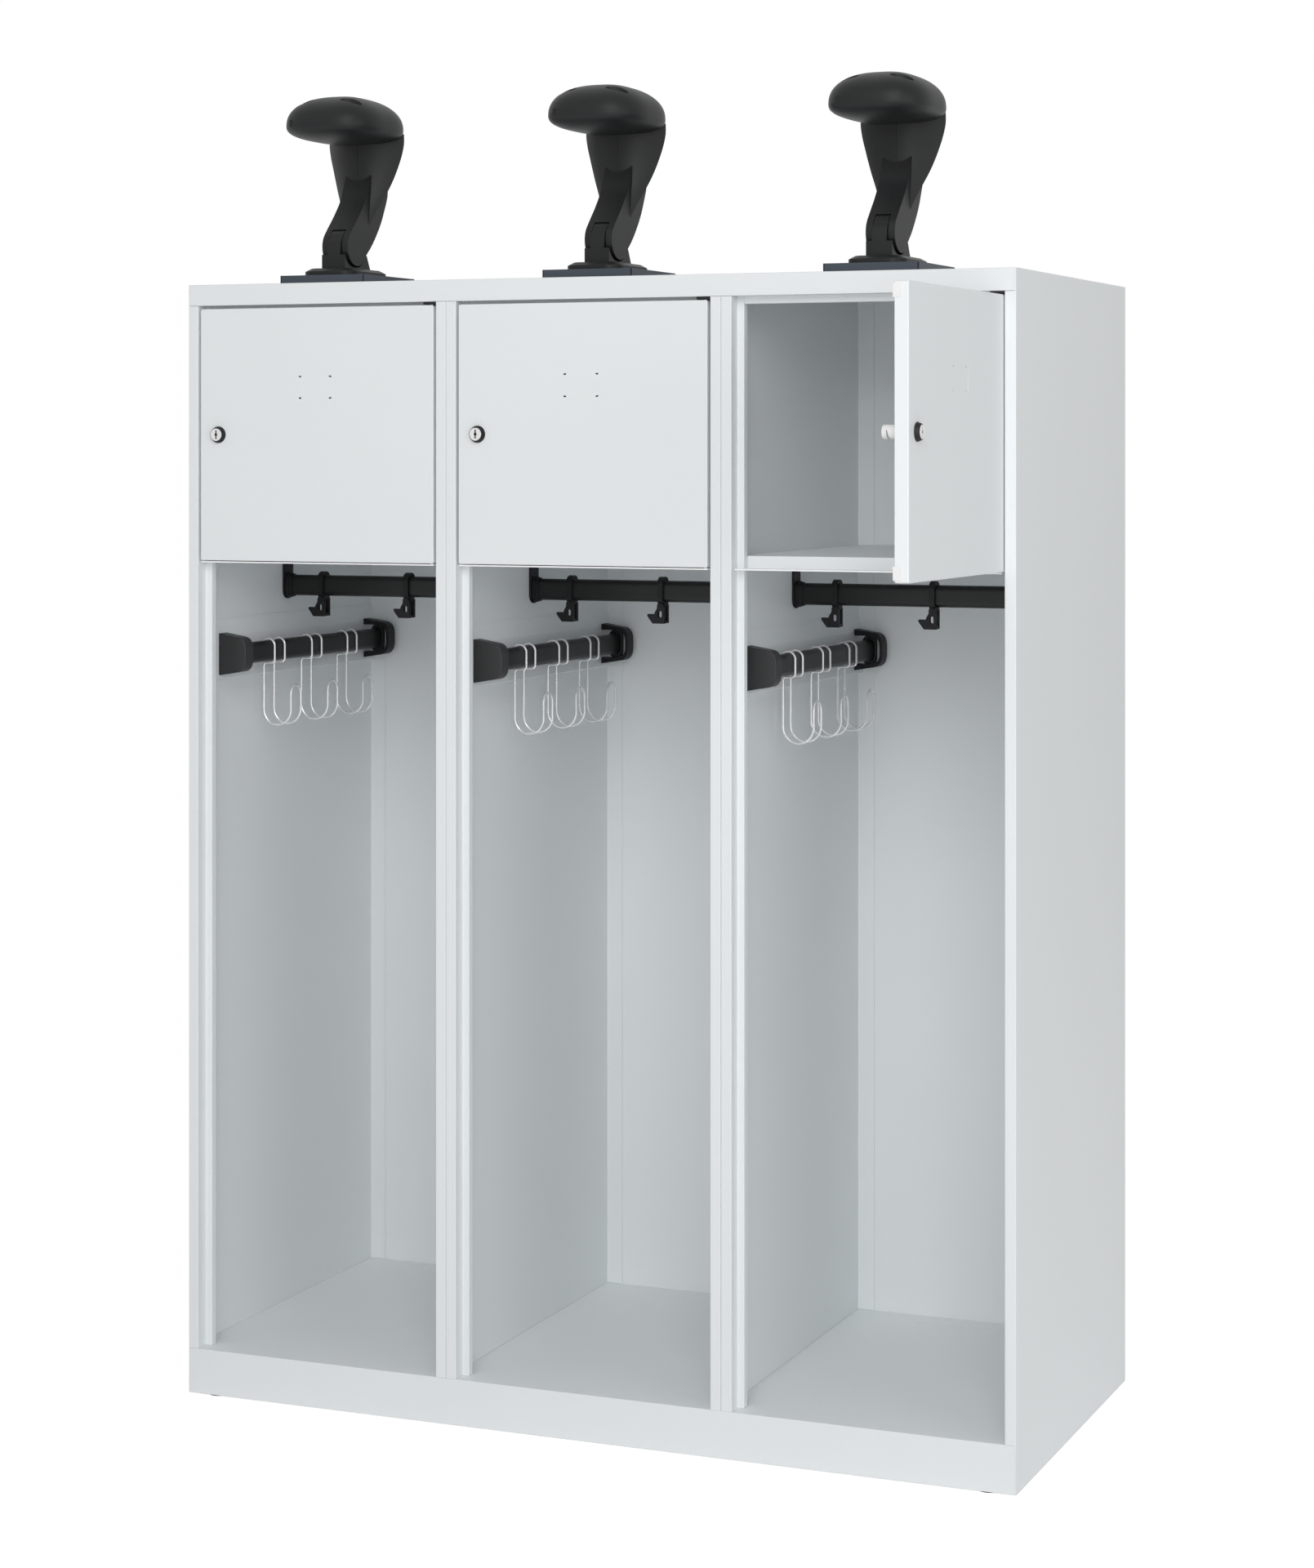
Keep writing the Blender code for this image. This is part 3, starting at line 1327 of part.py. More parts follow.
def funnel_section(middle, half, ridge, bulge, grow):
    """The plan of a section, round from one side ridge by the front to the other and back."""
    points = []
    for sign, depth in ((-1, FUNNEL_FRONT_BULGE), (1, FUNNEL_REAR_BULGE)):
        for step in range(FUNNEL_STEPS):
            across = sign * (2 * step / FUNNEL_STEPS - 1)
            swell = sign * (depth * bulge + grow) * (1 - across**2)
            points.append((middle - across * half, ridge + swell))
    return points


def make_helmet_stem(module):
    """Arm and funnel in one piece, slotted over the centre lug."""
    middle = module_x(module)
    half = STEM_WIDTH / 2
    mesh = prism([arm_outline()], "x", middle - half, middle + half)
    stem = add_part(f"helmet_stem_{module + 1}", mesh, BLACK_PLASTIC)
    join(stem, funnel_mesh(middle))
    lug_half = LUG_WIDTH / 2 + CLEARANCE
    room = LUG_RADIUS + LUG_ROOM
    centre = (PIVOT_Y, PIVOT_Z)
    cut(stem, cylinder(room, centre, "x", middle - lug_half, middle + lug_half, WIDE_ROUND_STEPS))
    pin_half = PIVOT_PIN_LENGTH / 2 + CLEARANCE
    radius = PIVOT_PIN_RADIUS + CLEARANCE
    cut(stem, cylinder(radius, centre, "x", middle - pin_half, middle + pin_half, PIN_STEPS))
    set_origin(stem, (middle, PIVOT_Y, PIVOT_Z))
    shade(stem)
    return stem


def head_point(unit, middle):
    """Moves a point of the unit sphere onto the head: an oval in plan, a superellipse in height."""
    flat = min(math.hypot(unit.x, unit.y), 1.0)
    height, exponent = (
        (HEAD_CROWN, HEAD_CROWN_EXPONENT) if unit.z >= 0 else (-HEAD_UNDERSIDE, HEAD_UNDERSIDE_EXPONENT)
    )
    if flat < MERGE_DISTANCE:
        return Vector((middle, HEAD_Y, HEAD_Z + height))
    plan = (abs(unit.x) ** HEAD_PLAN_EXPONENT + abs(unit.y) ** HEAD_PLAN_EXPONENT) ** (1 / HEAD_PLAN_EXPONENT)
    spread = flat ** (2 / exponent) / plan
    rise = abs(unit.z) ** (2 / exponent)
    return Vector(
        (
            middle + unit.x * spread * HEAD_HALF_WIDTH,
            HEAD_Y + unit.y * spread * HEAD_HALF_LENGTH,
            HEAD_Z + height * rise,
        )
    )


def head_vents(middle):
    vents = []
    low = HEAD_Z + HEAD_VENT_FLOOR
    for side_x in (-1, 1):
        for side_y in (-1, 1):
            centre = (HEAD_Y + side_y * HEAD_VENT_SPACING_Y / 2, middle + side_x * HEAD_VENT_SPACING_X / 2)
            outline = [(x, y) for y, x in stadium(centre, HEAD_VENT_WIDTH, HEAD_VENT_LENGTH, CORNER_STEPS)]
            vents.append(prism([outline], "z", low, HEAD_Z + HEAD_CROWN + OVERRUN))
    return vents


def make_helmet_head(module):
    """The rounded head that a helmet rests on, hollowed under for the top of the stem."""
    middle = module_x(module)
    bm = bmesh.new()
    bmesh.ops.create_uvsphere(bm, u_segments=HEAD_SEGMENTS, v_segments=HEAD_RINGS, radius=1.0)
    for vert in bm.verts:
        vert.co = head_point(vert.co, middle)
    head = add_part(f"helmet_head_{module + 1}", finish_mesh(bm), BLACK_PLASTIC)
    cut(head, funnel_mesh(middle, CLEARANCE))
    cut(head, merged(head_vents(middle)))
    front = HEAD_Y - HEAD_HALF_LENGTH
    centre = (middle - HEAD_HOLE_OFFSET, HEAD_Z + HEAD_HOLE_RISE)
    floor = front + HEAD_HOLE_DEPTH
    cut(head, cylinder(HEAD_HOLE_RADIUS, centre, "y", front - OVERRUN, floor, PIN_STEPS))
    set_origin(head, (middle, PIVOT_Y, PIVOT_Z))
    shade(head)
    return head


def make_carcass():
    for module in modules():
        make_wall(module, -1)
        make_wall(module, 1)
        make_shelf(module)
        make_hinge_block(module)
    make_back_panel()
    make_top_panel()
    make_floor_panel()


def make_fittings():
    """The rails and hooks of each compartment and the helmet holder over it."""
    for module in modules():
        make_coat_rail(module)
        make_side_rail(module)
        make_front_bracket(module)
        make_rear_bracket(module)
        for letter, place in zip("abc", CLIP_PLACES):
            make_clip_hook(module, place, letter)
        for letter, share in zip("abc", WIRE_PLACE_SHARES):
            make_wire_hook(module, share, letter)
        make_helmet_plate(module)
        make_helmet_foot(module)
        make_helmet_stem(module)
        make_helmet_head(module)


def main():
    clear_scene()
    new_collection(OBJECT_NAME)
    new_collection(CUTTERS_NAME)
    make_carcass()
    for module in modules():
        make_door_set(module)
    make_fittings()


main()
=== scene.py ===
"""Looks of the firefighter gear locker: dressed pieces, finishes, floor, light and camera."""

from __future__ import annotations

import functools
import json
import logging
import math
from collections.abc import Callable, Iterable, Sequence
from dataclasses import dataclass
from enum import Enum

import bmesh
import bpy
from mathutils import Matrix, Vector


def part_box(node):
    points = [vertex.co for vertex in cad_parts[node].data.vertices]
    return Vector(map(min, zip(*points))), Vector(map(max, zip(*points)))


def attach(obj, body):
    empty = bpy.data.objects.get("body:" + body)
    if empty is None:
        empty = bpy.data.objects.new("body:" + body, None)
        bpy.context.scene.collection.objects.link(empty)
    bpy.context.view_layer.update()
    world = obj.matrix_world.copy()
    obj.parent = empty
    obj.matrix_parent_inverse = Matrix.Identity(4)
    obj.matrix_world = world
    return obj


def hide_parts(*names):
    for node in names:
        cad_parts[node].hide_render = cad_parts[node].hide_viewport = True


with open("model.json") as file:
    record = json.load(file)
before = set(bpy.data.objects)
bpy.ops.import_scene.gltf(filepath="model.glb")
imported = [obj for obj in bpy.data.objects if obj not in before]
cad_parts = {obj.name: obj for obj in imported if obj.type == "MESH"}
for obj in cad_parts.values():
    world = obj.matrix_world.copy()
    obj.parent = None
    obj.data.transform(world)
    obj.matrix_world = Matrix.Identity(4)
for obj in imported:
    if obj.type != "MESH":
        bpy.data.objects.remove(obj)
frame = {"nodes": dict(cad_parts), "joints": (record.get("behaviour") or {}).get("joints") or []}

LOG = logging.getLogger("locker")

Point = tuple[float, float]
Place = tuple[float, float, float]
Ring = list[Point]
Mesh = bpy.types.Mesh
Colour = tuple[float, float, float]

# Fits and sheet metal, as in the frame
GAP = 0.0003
HAIR = GAP / 10
SHEET = 0.001
HALF_SHEET = SHEET / 2
MERGE_DISTANCE = 0.000001
OVERRUN = 0.004
SHARP_ANGLE = math.radians(32)
FLAT_ANGLE = math.radians(0.5)
QUARTER = math.pi / 2
ROUND_STEPS = 48
CORNER_FACETS = 4


# Drawing aids


class Axis(Enum):
    """The axis that an outline is run along, as the turn from the drawing plane."""

    X = ((0, 0, 1), (1, 0, 0), (0, 1, 0))
    Y = ((1, 0, 0), (0, 0, -1), (0, 1, 0))
    Z = ((1, 0, 0), (0, 1, 0), (0, 0, 1))

    @property
    def turn(self) -> Matrix:
        """The turn that takes the drawing plane to this axis."""
        return Matrix(self.value).to_4x4()

    @property
    def vector(self) -> Vector:
        """The axis as a unit vector."""
        return Vector([abs(row[2]) for row in self.value])


def rounded_rectangle(centre: Point, width: float, height: float, radius: float, steps: int = 6) -> Ring:
    """Draws a rectangle with round corners.

    Args:
        centre: the middle of the rectangle.
        width: its size across.
        height: its size up.
        radius: the radius of its corners.
        steps: the facets in a corner.

    Returns:
        The points round its edge.
    """
    points = []
    for quarter in range(4):
        side_x = 1 if quarter in (0, 3) else -1
        side_y = 1 if quarter in (0, 1) else -1
        middle = (
            centre[0] + side_x * (width / 2 - radius),
            centre[1] + side_y * (height / 2 - radius),
        )
        points += arc(middle, radius, 90 * quarter, 90 * quarter + 90, steps)
    return points


def stadium(centre: Point, width: float, height: float, steps: int = 14) -> Ring:
    """Draws an upright oval with round ends.

    Args:
        centre: the middle of the oval.
        width: its size across.
        height: its size up.
        steps: the facets in an end.

    Returns:
        The points round its edge.
    """
    radius = width / 2
    straight = height / 2 - radius
    upper = arc((centre[0], centre[1] + straight), radius, 0, 180, steps)
    lower = arc((centre[0], centre[1] - straight), radius, 180, 360, steps)
    return upper + lower


def arc(centre: Point, radius: float, start_deg: float, end_deg: float, steps: int) -> Ring:
    """Draws an arc.

    Args:
        centre: the middle of the arc.
        radius: its radius.
        start_deg: where it starts.
        end_deg: where it ends.
        steps: its facets.

    Returns:
        The points along it, both ends included.
    """
    points = []
    for step in range(steps + 1):
        turn = math.radians(start_deg + (end_deg - start_deg) * step / steps)
        points.append((centre[0] + radius * math.cos(turn), centre[1] + radius * math.sin(turn)))
    return points


def flowing(points: Sequence[Sequence[float]], steps: int) -> list[tuple[float, ...]]:
    """Draws a smooth line through points.

    Args:
        points: the points that it goes through.
        steps: the facets between two of them.

    Returns:
        The points along the line, both ends included.
    """
    line = []
    last = len(points) - 1
    for index in range(last):
        before, start, end, after = (
            points[max(index - 1, 0)],
            points[index],
            points[index + 1],
            points[min(index + 2, last)],
        )
        for step in range(steps):
            share = step / steps
            line.append(tuple(map(lambda a, b, c, d: flow(a, b, c, d, share), before, start, end, after)))
    line.append(tuple(points[-1]))
    return line


def flow(before: float, start: float, end: float, after: float, share: float) -> float:
    """One coordinate of a Catmull-Rom curve between start and end.

    Args:
        before: the coordinate of the point before.
        start: the one where the piece starts.
        end: the one where it ends.
        after: the one of the point after.
        share: how far along the piece it is, from 0 to 1.

    Returns:
        The coordinate there.
    """
    pull = 2 * before - 5 * start + 4 * end - after
    turn = 3 * start - before - 3 * end + after
    return start + share * ((end - before) + share * (pull + share * turn)) / 2


def rounded_off(ring: Ring, passes: int = 2, near: float = 0.25) -> Ring:
    """Cuts the corners of a closed outline.

    Args:
        ring: the outline.
        passes: how often each corner is cut.
        near: the share of a side that each cut takes.

    Returns:
        The softer outline.
    """
    far = 1 - near
    for _ in range(passes):
        softer = []
        for start, end in zip(ring, ring[1:] + ring[:1]):
            for first, last in ((far, near), (near, far)):
                softer.append((first * start[0] + last * end[0], first * start[1] + last * end[1]))
        ring = softer
    return ring


# Mesh making


def finished(bm: bmesh.types.BMesh) -> Mesh:
    """Merges a bmesh, turns its faces outwards and returns it as a mesh.

    Args:
        bm: the bmesh, which is freed.

    Returns:
        The mesh.
    """
    bmesh.ops.remove_doubles(bm, verts=bm.verts, dist=MERGE_DISTANCE)
    loose = [edge for edge in bm.edges if not edge.link_faces]
    bmesh.ops.delete(bm, geom=loose, context="EDGES")
    bmesh.ops.recalc_face_normals(bm, faces=bm.faces)
    mesh = bpy.data.meshes.new("shape")
    bm.to_mesh(mesh)
    bm.free()
    return mesh


def merged(meshes: Iterable[Mesh]) -> Mesh:
    """Puts several closed meshes into one.

    Args:
        meshes: the closed meshes.

    Returns:
        The one mesh.
    """
    bm = bmesh.new()
    for mesh in meshes:
        bm.from_mesh(mesh)
    return finished(bm)


def block(low: Sequence[float], high: Sequence[float]) -> Mesh:
    """Makes a plain block, for cutting and joining.

    Args:
        low: its lowest corner.
        high: its highest corner.

    Returns:
        The closed mesh.
    """
    ring = [(low[0], low[1]), (high[0], low[1]), (high[0], high[1]), (low[0], high[1])]
    return prism([ring], Axis.Z, low[2], high[2])


def cylinder(centre: Point, radius: float, axis: Axis, low: float, high: float) -> Mesh:
    """Makes a plain cylinder, for cutting and joining.

    Args:
        centre: its middle in the other two coordinates.
        radius: its radius.
        axis: the axis that it runs along.
        low: where it starts.
        high: where it ends.

    Returns:
        The closed mesh.
    """
    return prism([arc(centre, radius, 0, 360, ROUND_STEPS)[:-1]], axis, low, high)


def prism(rings: Sequence[Ring], axis: Axis, low: float, high: float) -> Mesh:
    """Runs a flat outline along an axis.

    Args:
        rings: the outline and then its holes, in the other two coordinates.
        axis: the axis that it is run along.
        low: where it starts.
        high: where it ends.

    Returns:
        The closed mesh.
    """
    curve = bpy.data.curves.new("outline", "CURVE")
    curve.dimensions = "2D"
    curve.fill_mode = "BOTH"
    curve.extrude = (high - low) / 2
    for ring in rings:
        spline = curve.splines.new("POLY")
        spline.points.add(len(ring) - 1)
        for point, place in zip(spline.points, ring):
            point.co = (place[0], place[1], 0, 1)
        spline.use_cyclic_u = True
    holder = bpy.data.objects.new("outline", curve)
    bm = bmesh.new()
    bm.from_mesh(bpy.data.meshes.new_from_object(holder))
    bpy.data.objects.remove(holder)
    middle = axis.vector * (low + high) / 2
    bmesh.ops.transform(bm, matrix=Matrix.Translation(middle) @ axis.turn, verts=bm.verts)
    bmesh.ops.remove_doubles(bm, verts=bm.verts, dist=MERGE_DISTANCE)
    bmesh.ops.dissolve_limit(bm, angle_limit=FLAT_ANGLE, verts=bm.verts, edges=bm.edges)
    return finished(bm)


def turned(profile: Ring, centre: Sequence[float], axis: Axis, steps: int = ROUND_STEPS) -> Mesh:
    """Turns a profile about an axis.

    Args:
        profile: its points, each as a radius and a place along the axis.
        centre: where the profile's zero is.
        axis: the direction of the axis.
        steps: the facets round it.

    Returns:
        The closed mesh.
    """
    bm = bmesh.new()
    verts = [bm.verts.new((radius, 0, along)) for radius, along in profile]
    edges = [bm.edges.new(pair) for pair in zip(verts, verts[1:] + verts[:1])]
    bmesh.ops.spin(
        bm,
        geom=verts + edges,
        cent=(0, 0, 0),
        axis=(0, 0, 1),
        angle=math.tau,
        steps=steps,
        use_merge=True,
    )
    bmesh.ops.transform(bm, matrix=Matrix.Translation(Vector(centre)) @ axis.turn, verts=bm.verts)
    return finished(bm)


def lofted(rings: Sequence[Sequence[Sequence[float]]]) -> Mesh:
    """Makes a body through rings, capped at both ends.

    Args:
        rings: the rings, each of as many points.

    Returns:
        The closed mesh.
    """
    bm = bmesh.new()
    loops = [[bm.verts.new(point) for point in ring] for ring in rings]
    for below, above in zip(loops, loops[1:]):
        for index, vert in enumerate(below):
            after = (index + 1) % len(below)
            bm.faces.new((vert, below[after], above[after], above[index]))
    bm.faces.new(loops[0])
    bm.faces.new(loops[-1])
    return finished(bm)


def wire(points: Sequence[Sequence[float]], radius: float, sides: int = 3) -> Mesh:
    """Makes a round wire, closed at its ends.

    Args:
        points: the points that it goes through.
        radius: its radius.
        sides: the curve's bevel resolution.

    Returns:
        The closed mesh.
    """
    curve = bpy.data.curves.new("wire", "CURVE")
    curve.dimensions = "3D"
    curve.bevel_depth = radius
    curve.bevel_resolution = sides
    curve.use_fill_caps = True
    spline = curve.splines.new("POLY")
    spline.points.add(len(points) - 1)
    for point, place in zip(spline.points, points):
        point.co = (*place, 1)
    holder = bpy.data.objects.new("wire", curve)
    bm = bmesh.new()
    bm.from_mesh(bpy.data.meshes.new_from_object(holder))
    bpy.data.objects.remove(holder)
    return finished(bm)


class Workpiece:
    """A mesh in the making. Cuts, joins and round edges are queued, then worked out by mesh()."""

    def __init__(self, mesh: Mesh) -> None:
        """Starts from a mesh."""
        self.obj = bpy.data.objects.new("workpiece", mesh)
        bpy.context.scene.collection.objects.link(self.obj)
        self.helpers: list[bpy.types.Object] = []

    def _combine(self, mesh: Mesh, operation: str) -> Workpiece:
        """Queues a Boolean with a mesh.

        Args:
            mesh: the other mesh.
            operation: what is done with it.

        Returns:
            The workpiece.
        """
        helper = bpy.data.objects.new("helper", mesh)
        bpy.context.scene.collection.objects.link(helper)
        self.helpers.append(helper)
        modifier = self.obj.modifiers.new(operation, "BOOLEAN")
        modifier.operation = operation
        modifier.object = helper
        return self

    def cut(self, *meshes: Mesh) -> Workpiece:
        """Takes meshes away.

        Args:
            meshes: the meshes.

        Returns:
            The workpiece.
        """
        for mesh in meshes:
            self._combine(mesh, "DIFFERENCE")
        return self

    def join(self, *meshes: Mesh) -> Workpiece:
        """Joins meshes on.

        Args:
            meshes: the meshes.

        Returns:
            The workpiece.
        """
        for mesh in meshes:
            self._combine(mesh, "UNION")
        return self

    def thicken(self, thickness: float) -> Workpiece:
        """Gives a sheet its thickness, half to either side.

        Args:
            thickness: its thickness.

        Returns:
            The workpiece.
        """
        modifier = self.obj.modifiers.new("sheet", "SOLIDIFY")
        modifier.thickness = thickness
        modifier.offset = 0.0
        return self

    def soften(self, width: float, segments: int = 2, angle_deg: float = 40.0) -> Workpiece:
        """Rounds the edges that are sharper than an angle.

        Args:
            width: the size of the rounding.
            segments: its facets.
            angle_deg: the angle from which an edge is rounded.

        Returns:
            The workpiece.
        """
        modifier = self.obj.modifiers.new("edges", "BEVEL")
        modifier.width = width
        modifier.segments = segments
        modifier.limit_method = "ANGLE"
        modifier.angle_limit = math.radians(angle_deg)
        modifier.miter_outer = "MITER_ARC"
        return self

    def _bake(self) -> None:
        """Turns what the modifiers give into the mesh itself."""
        graph = bpy.context.evaluated_depsgraph_get()
        graph.update()
        mesh = bpy.data.meshes.new_from_object(self.obj.evaluated_get(graph), depsgraph=graph)
        self.obj.modifiers.clear()
        self.obj.data = mesh

    def flatten(self) -> Workpiece:
        """Works out what is queued and joins the facets of flat faces."""
        self._bake()
        bm = bmesh.new()
        bm.from_mesh(self.obj.data)
        bmesh.ops.remove_doubles(bm, verts=bm.verts, dist=MERGE_DISTANCE)
        bmesh.ops.dissolve_limit(bm, angle_limit=FLAT_ANGLE, verts=bm.verts, edges=bm.edges)
        bm.to_mesh(self.obj.data)
        bm.free()
        return self

    def mesh(self) -> Mesh:
        """Works out what is queued, shades the result smooth between its edges and returns it."""
        self._bake()
        self.obj.data.shade_smooth()
        self.obj.data.set_sharp_from_angle(angle=SHARP_ANGLE)
        modifier = self.obj.modifiers.new("normals", "WEIGHTED_NORMAL")
        modifier.keep_sharp = True
        self._bake()
        mesh = self.obj.data
        for helper in (self.obj, *self.helpers):
            bpy.data.objects.remove(helper)
        return mesh


@dataclass(frozen=True)
class FoldedSheet:
    """A sheet bent along a line and run through stations, without the skipped cells.

    The line is at mid thickness. A cell is a segment's number and the number of its station gap.
    """

    line: Ring
    axis: Axis
    stations: Sequence[float]
    skipped: frozenset[tuple[int, int]] = frozenset()
    radius: float = 0.0007
    steps: int = 4

    def bent_line(self) -> tuple[Ring, list[tuple[int, ...]]]:
        """The line with its corners bent, and the flat segments that each of its segments belongs to."""
        points = [self.line[0]]
        owners: list[tuple[int, ...]] = []
        for index in range(1, len(self.line) - 1):
            corner = Vector(self.line[index])
            back = (Vector(self.line[index - 1]) - corner).normalized()
            ahead = (Vector(self.line[index + 1]) - corner).normalized()
            half = back.angle(ahead) / 2
            run = self.radius / math.tan(half)
            middle = corner + (back + ahead).normalized() * self.radius / math.sin(half)
            start = corner + back * run - middle
            sweep = start.angle_signed(corner + ahead * run - middle)
            for step in range(self.steps + 1):
                turn = Matrix.Rotation(-sweep * step / self.steps, 2)
                points.append(tuple(middle + turn @ start))
            owners += [(index - 1,)] + [(index - 1, index)] * self.steps
        points.append(self.line[-1])
        owners.append((len(self.line) - 2,))
        return points, owners

    def mesh(self) -> Mesh:
        """The sheet without its thickness."""
        points, owners = self.bent_line()
        turn = self.axis.turn.to_3x3()
        bm = bmesh.new()
        rows = []
        for station in self.stations:
            shift = self.axis.vector * station
            rows.append([bm.verts.new(turn @ Vector((*point, 0)) + shift) for point in points])
        for row, (below, above) in enumerate(zip(rows, rows[1:])):
            for column, owner in enumerate(owners):
                if all((segment, row) in self.skipped for segment in owner):
                    continue
                bm.faces.new((below[column], below[column + 1], above[column + 1], above[column]))
        stray = [vert for vert in bm.verts if not vert.link_faces]
        bmesh.ops.delete(bm, geom=stray, context="VERTS")
        return finished(bm)


# Patterns that repeat, made with geometry nodes


def add_node(
    tree: bpy.types.NodeTree, kind: str, inputs: dict[str, object], **settings: object
) -> bpy.types.Node:
    """Adds a node to a tree.

    Args:
        tree: the tree.
        kind: the node's type.
        inputs: what its inputs get, each a value or the socket that feeds it.
        settings: the node's own settings.

    Returns:
        The node.
    """
    node = tree.nodes.new(kind)
    for name, value in settings.items():
        setattr(node, name, value)
    for name, given in inputs.items():
        if isinstance(given, bpy.types.NodeSocket):
            tree.links.new(given, node.inputs[name])
        else:
            node.inputs[name].default_value = given
    return node


class RepeatTree:
    """A geometry tree that sets copies of a small body along a line, with named inputs."""

    def __init__(self, name: str) -> None:
        """Makes the empty tree."""
        self.tree = bpy.data.node_groups.new(name, "GeometryNodeTree")
        self.tree.interface.new_socket(name="Geometry", in_out="OUTPUT", socket_type="NodeSocketGeometry")
        self.inputs: dict[str, str] = {}
        self.start = self.tree.nodes.new("NodeGroupInput")

    def ask(self, name: str, kind: str) -> None:
        """Adds a named input.

        Args:
            name: the input's name.
            kind: its kind of socket.
        """
        socket = self.tree.interface.new_socket(name=name, in_out="INPUT", socket_type=kind)
        self.inputs[name] = socket.identifier

    def node(self, kind: str, inputs: dict[str, object]) -> bpy.types.Node:
        """Adds a node of a kind, its inputs each given a value or the socket that feeds it."""
        return add_node(self.tree, kind, inputs)

    def given(self, name: str) -> bpy.types.NodeSocket:
        """The output of the group input that holds a named size."""
        return self.start.outputs[name]

    def close(self, geometry: bpy.types.NodeSocket) -> None:
        """Ends the tree in plain geometry with the material that is asked for.

        Args:
            geometry: what the tree has made.
        """
        real = self.node("GeometryNodeRealizeInstances", {"Geometry": geometry})
        dressed = self.node(
            "GeometryNodeSetMaterial",
            {"Geometry": real.outputs[0], "Material": self.given("Material")},
        )
        end = self.tree.nodes.new("NodeGroupOutput")
        self.tree.links.new(dressed.outputs[0], end.inputs[0])

    def baked(self, **sizes: object) -> Mesh:
        """Runs the tree and makes its result a plain mesh.

        Args:
            sizes: what each named input gets.

        Returns:
            The mesh.
        """
        holder = bpy.data.objects.new("pattern", bpy.data.meshes.new("pattern"))
        bpy.context.scene.collection.objects.link(holder)
        modifier = holder.modifiers.new("pattern", "NODES")
        modifier.node_group = self.tree
        for name, value in sizes.items():
            modifier[self.inputs[name]] = value
        graph = bpy.context.evaluated_depsgraph_get()
        graph.update()
        mesh = bpy.data.meshes.new_from_object(holder.evaluated_get(graph), depsgraph=graph)
        bpy.data.objects.remove(holder)
        return mesh


def row_tree(name: str, upright: bool) -> RepeatTree:
    """A tree that repeats a rounded bar along a line.

    Args:
        name: the tree's name.
        upright: whether the row runs up instead of across.

    Returns:
        The tree, with inputs for the count, the start, the pitch and the bar's size.
    """
    tree = RepeatTree(name)
    kinds = {"Count": "Int", "Start": "Vector", "Step": "Vector", "Material": "Material"}
    for name in ("Count", "Start", "Step", "Width", "Depth", "Height", "Corner", "Material"):
        tree.ask(name, f"NodeSocket{kinds.get(name, 'Float')}")
    line = tree.node(
        "GeometryNodeMeshLine",
        {"Count": tree.given("Count"), "Start Location": tree.given("Start"), "Offset": tree.given("Step")},
    )
    outline = tree.node(
        "GeometryNodeCurvePrimitiveQuadrilateral",
        {"Width": tree.given("Width"), "Height": tree.given("Depth")},
    )
    fillet = tree.node(
        "GeometryNodeFilletCurve",
        {"Curve": outline.outputs[0], "Radius": tree.given("Corner")},
    )
    set_choice(fillet, "mode", "Mode", "POLY", "Poly")
    fillet.inputs["Count"].default_value = CORNER_FACETS
    fill = tree.node("GeometryNodeFillCurve", {"Curve": fillet.outputs[0]})
    set_choice(fill, "mode", "Mode", "NGONS", "N-gons")
    raised = tree.node(
        "GeometryNodeExtrudeMesh",
        {"Mesh": fill.outputs[0], "Offset Scale": tree.given("Height")},
    )
    under = tree.node("GeometryNodeFlipFaces", {"Mesh": fill.outputs[0]})
    whole = tree.node("GeometryNodeJoinGeometry", {})
    tree.tree.links.new(raised.outputs["Mesh"], whole.inputs[0])
    tree.tree.links.new(under.outputs[0], whole.inputs[0])
    closed = tree.node(
        "GeometryNodeMergeByDistance", {"Geometry": whole.outputs[0], "Distance": MERGE_DISTANCE}
    )
    copies = tree.node(
        "GeometryNodeInstanceOnPoints",
        {"Points": line.outputs[0], "Instance": closed.outputs[0]},
    )
    if upright:
        copies.inputs["Rotation"].default_value = (math.pi / 2, 0.0, 0.0)
    tree.close(copies.outputs[0])
    return tree


def set_choice(node: bpy.types.Node, attribute: str, socket: str, old: str, label: str) -> None:
    """Sets a menu choice, as the node's own setting or else as its menu socket.

    Args:
        node: the node.
        attribute: its setting, where it has one.
        socket: its menu socket.
        old: the setting's value.
        label: the socket's value.
    """
    if hasattr(node, attribute):
        setattr(node, attribute, old)
        return
    node.inputs[socket].default_value = label


# Finishes


class Grain(Enum):
    """The relief of a surface: how fine it is along x, y and z, per metre."""

    COAT = (620.0, 620.0, 620.0)
    MOULDED = (1500.0, 1500.0, 1500.0)
    DRAWN = (900.0, 900.0, 900.0)


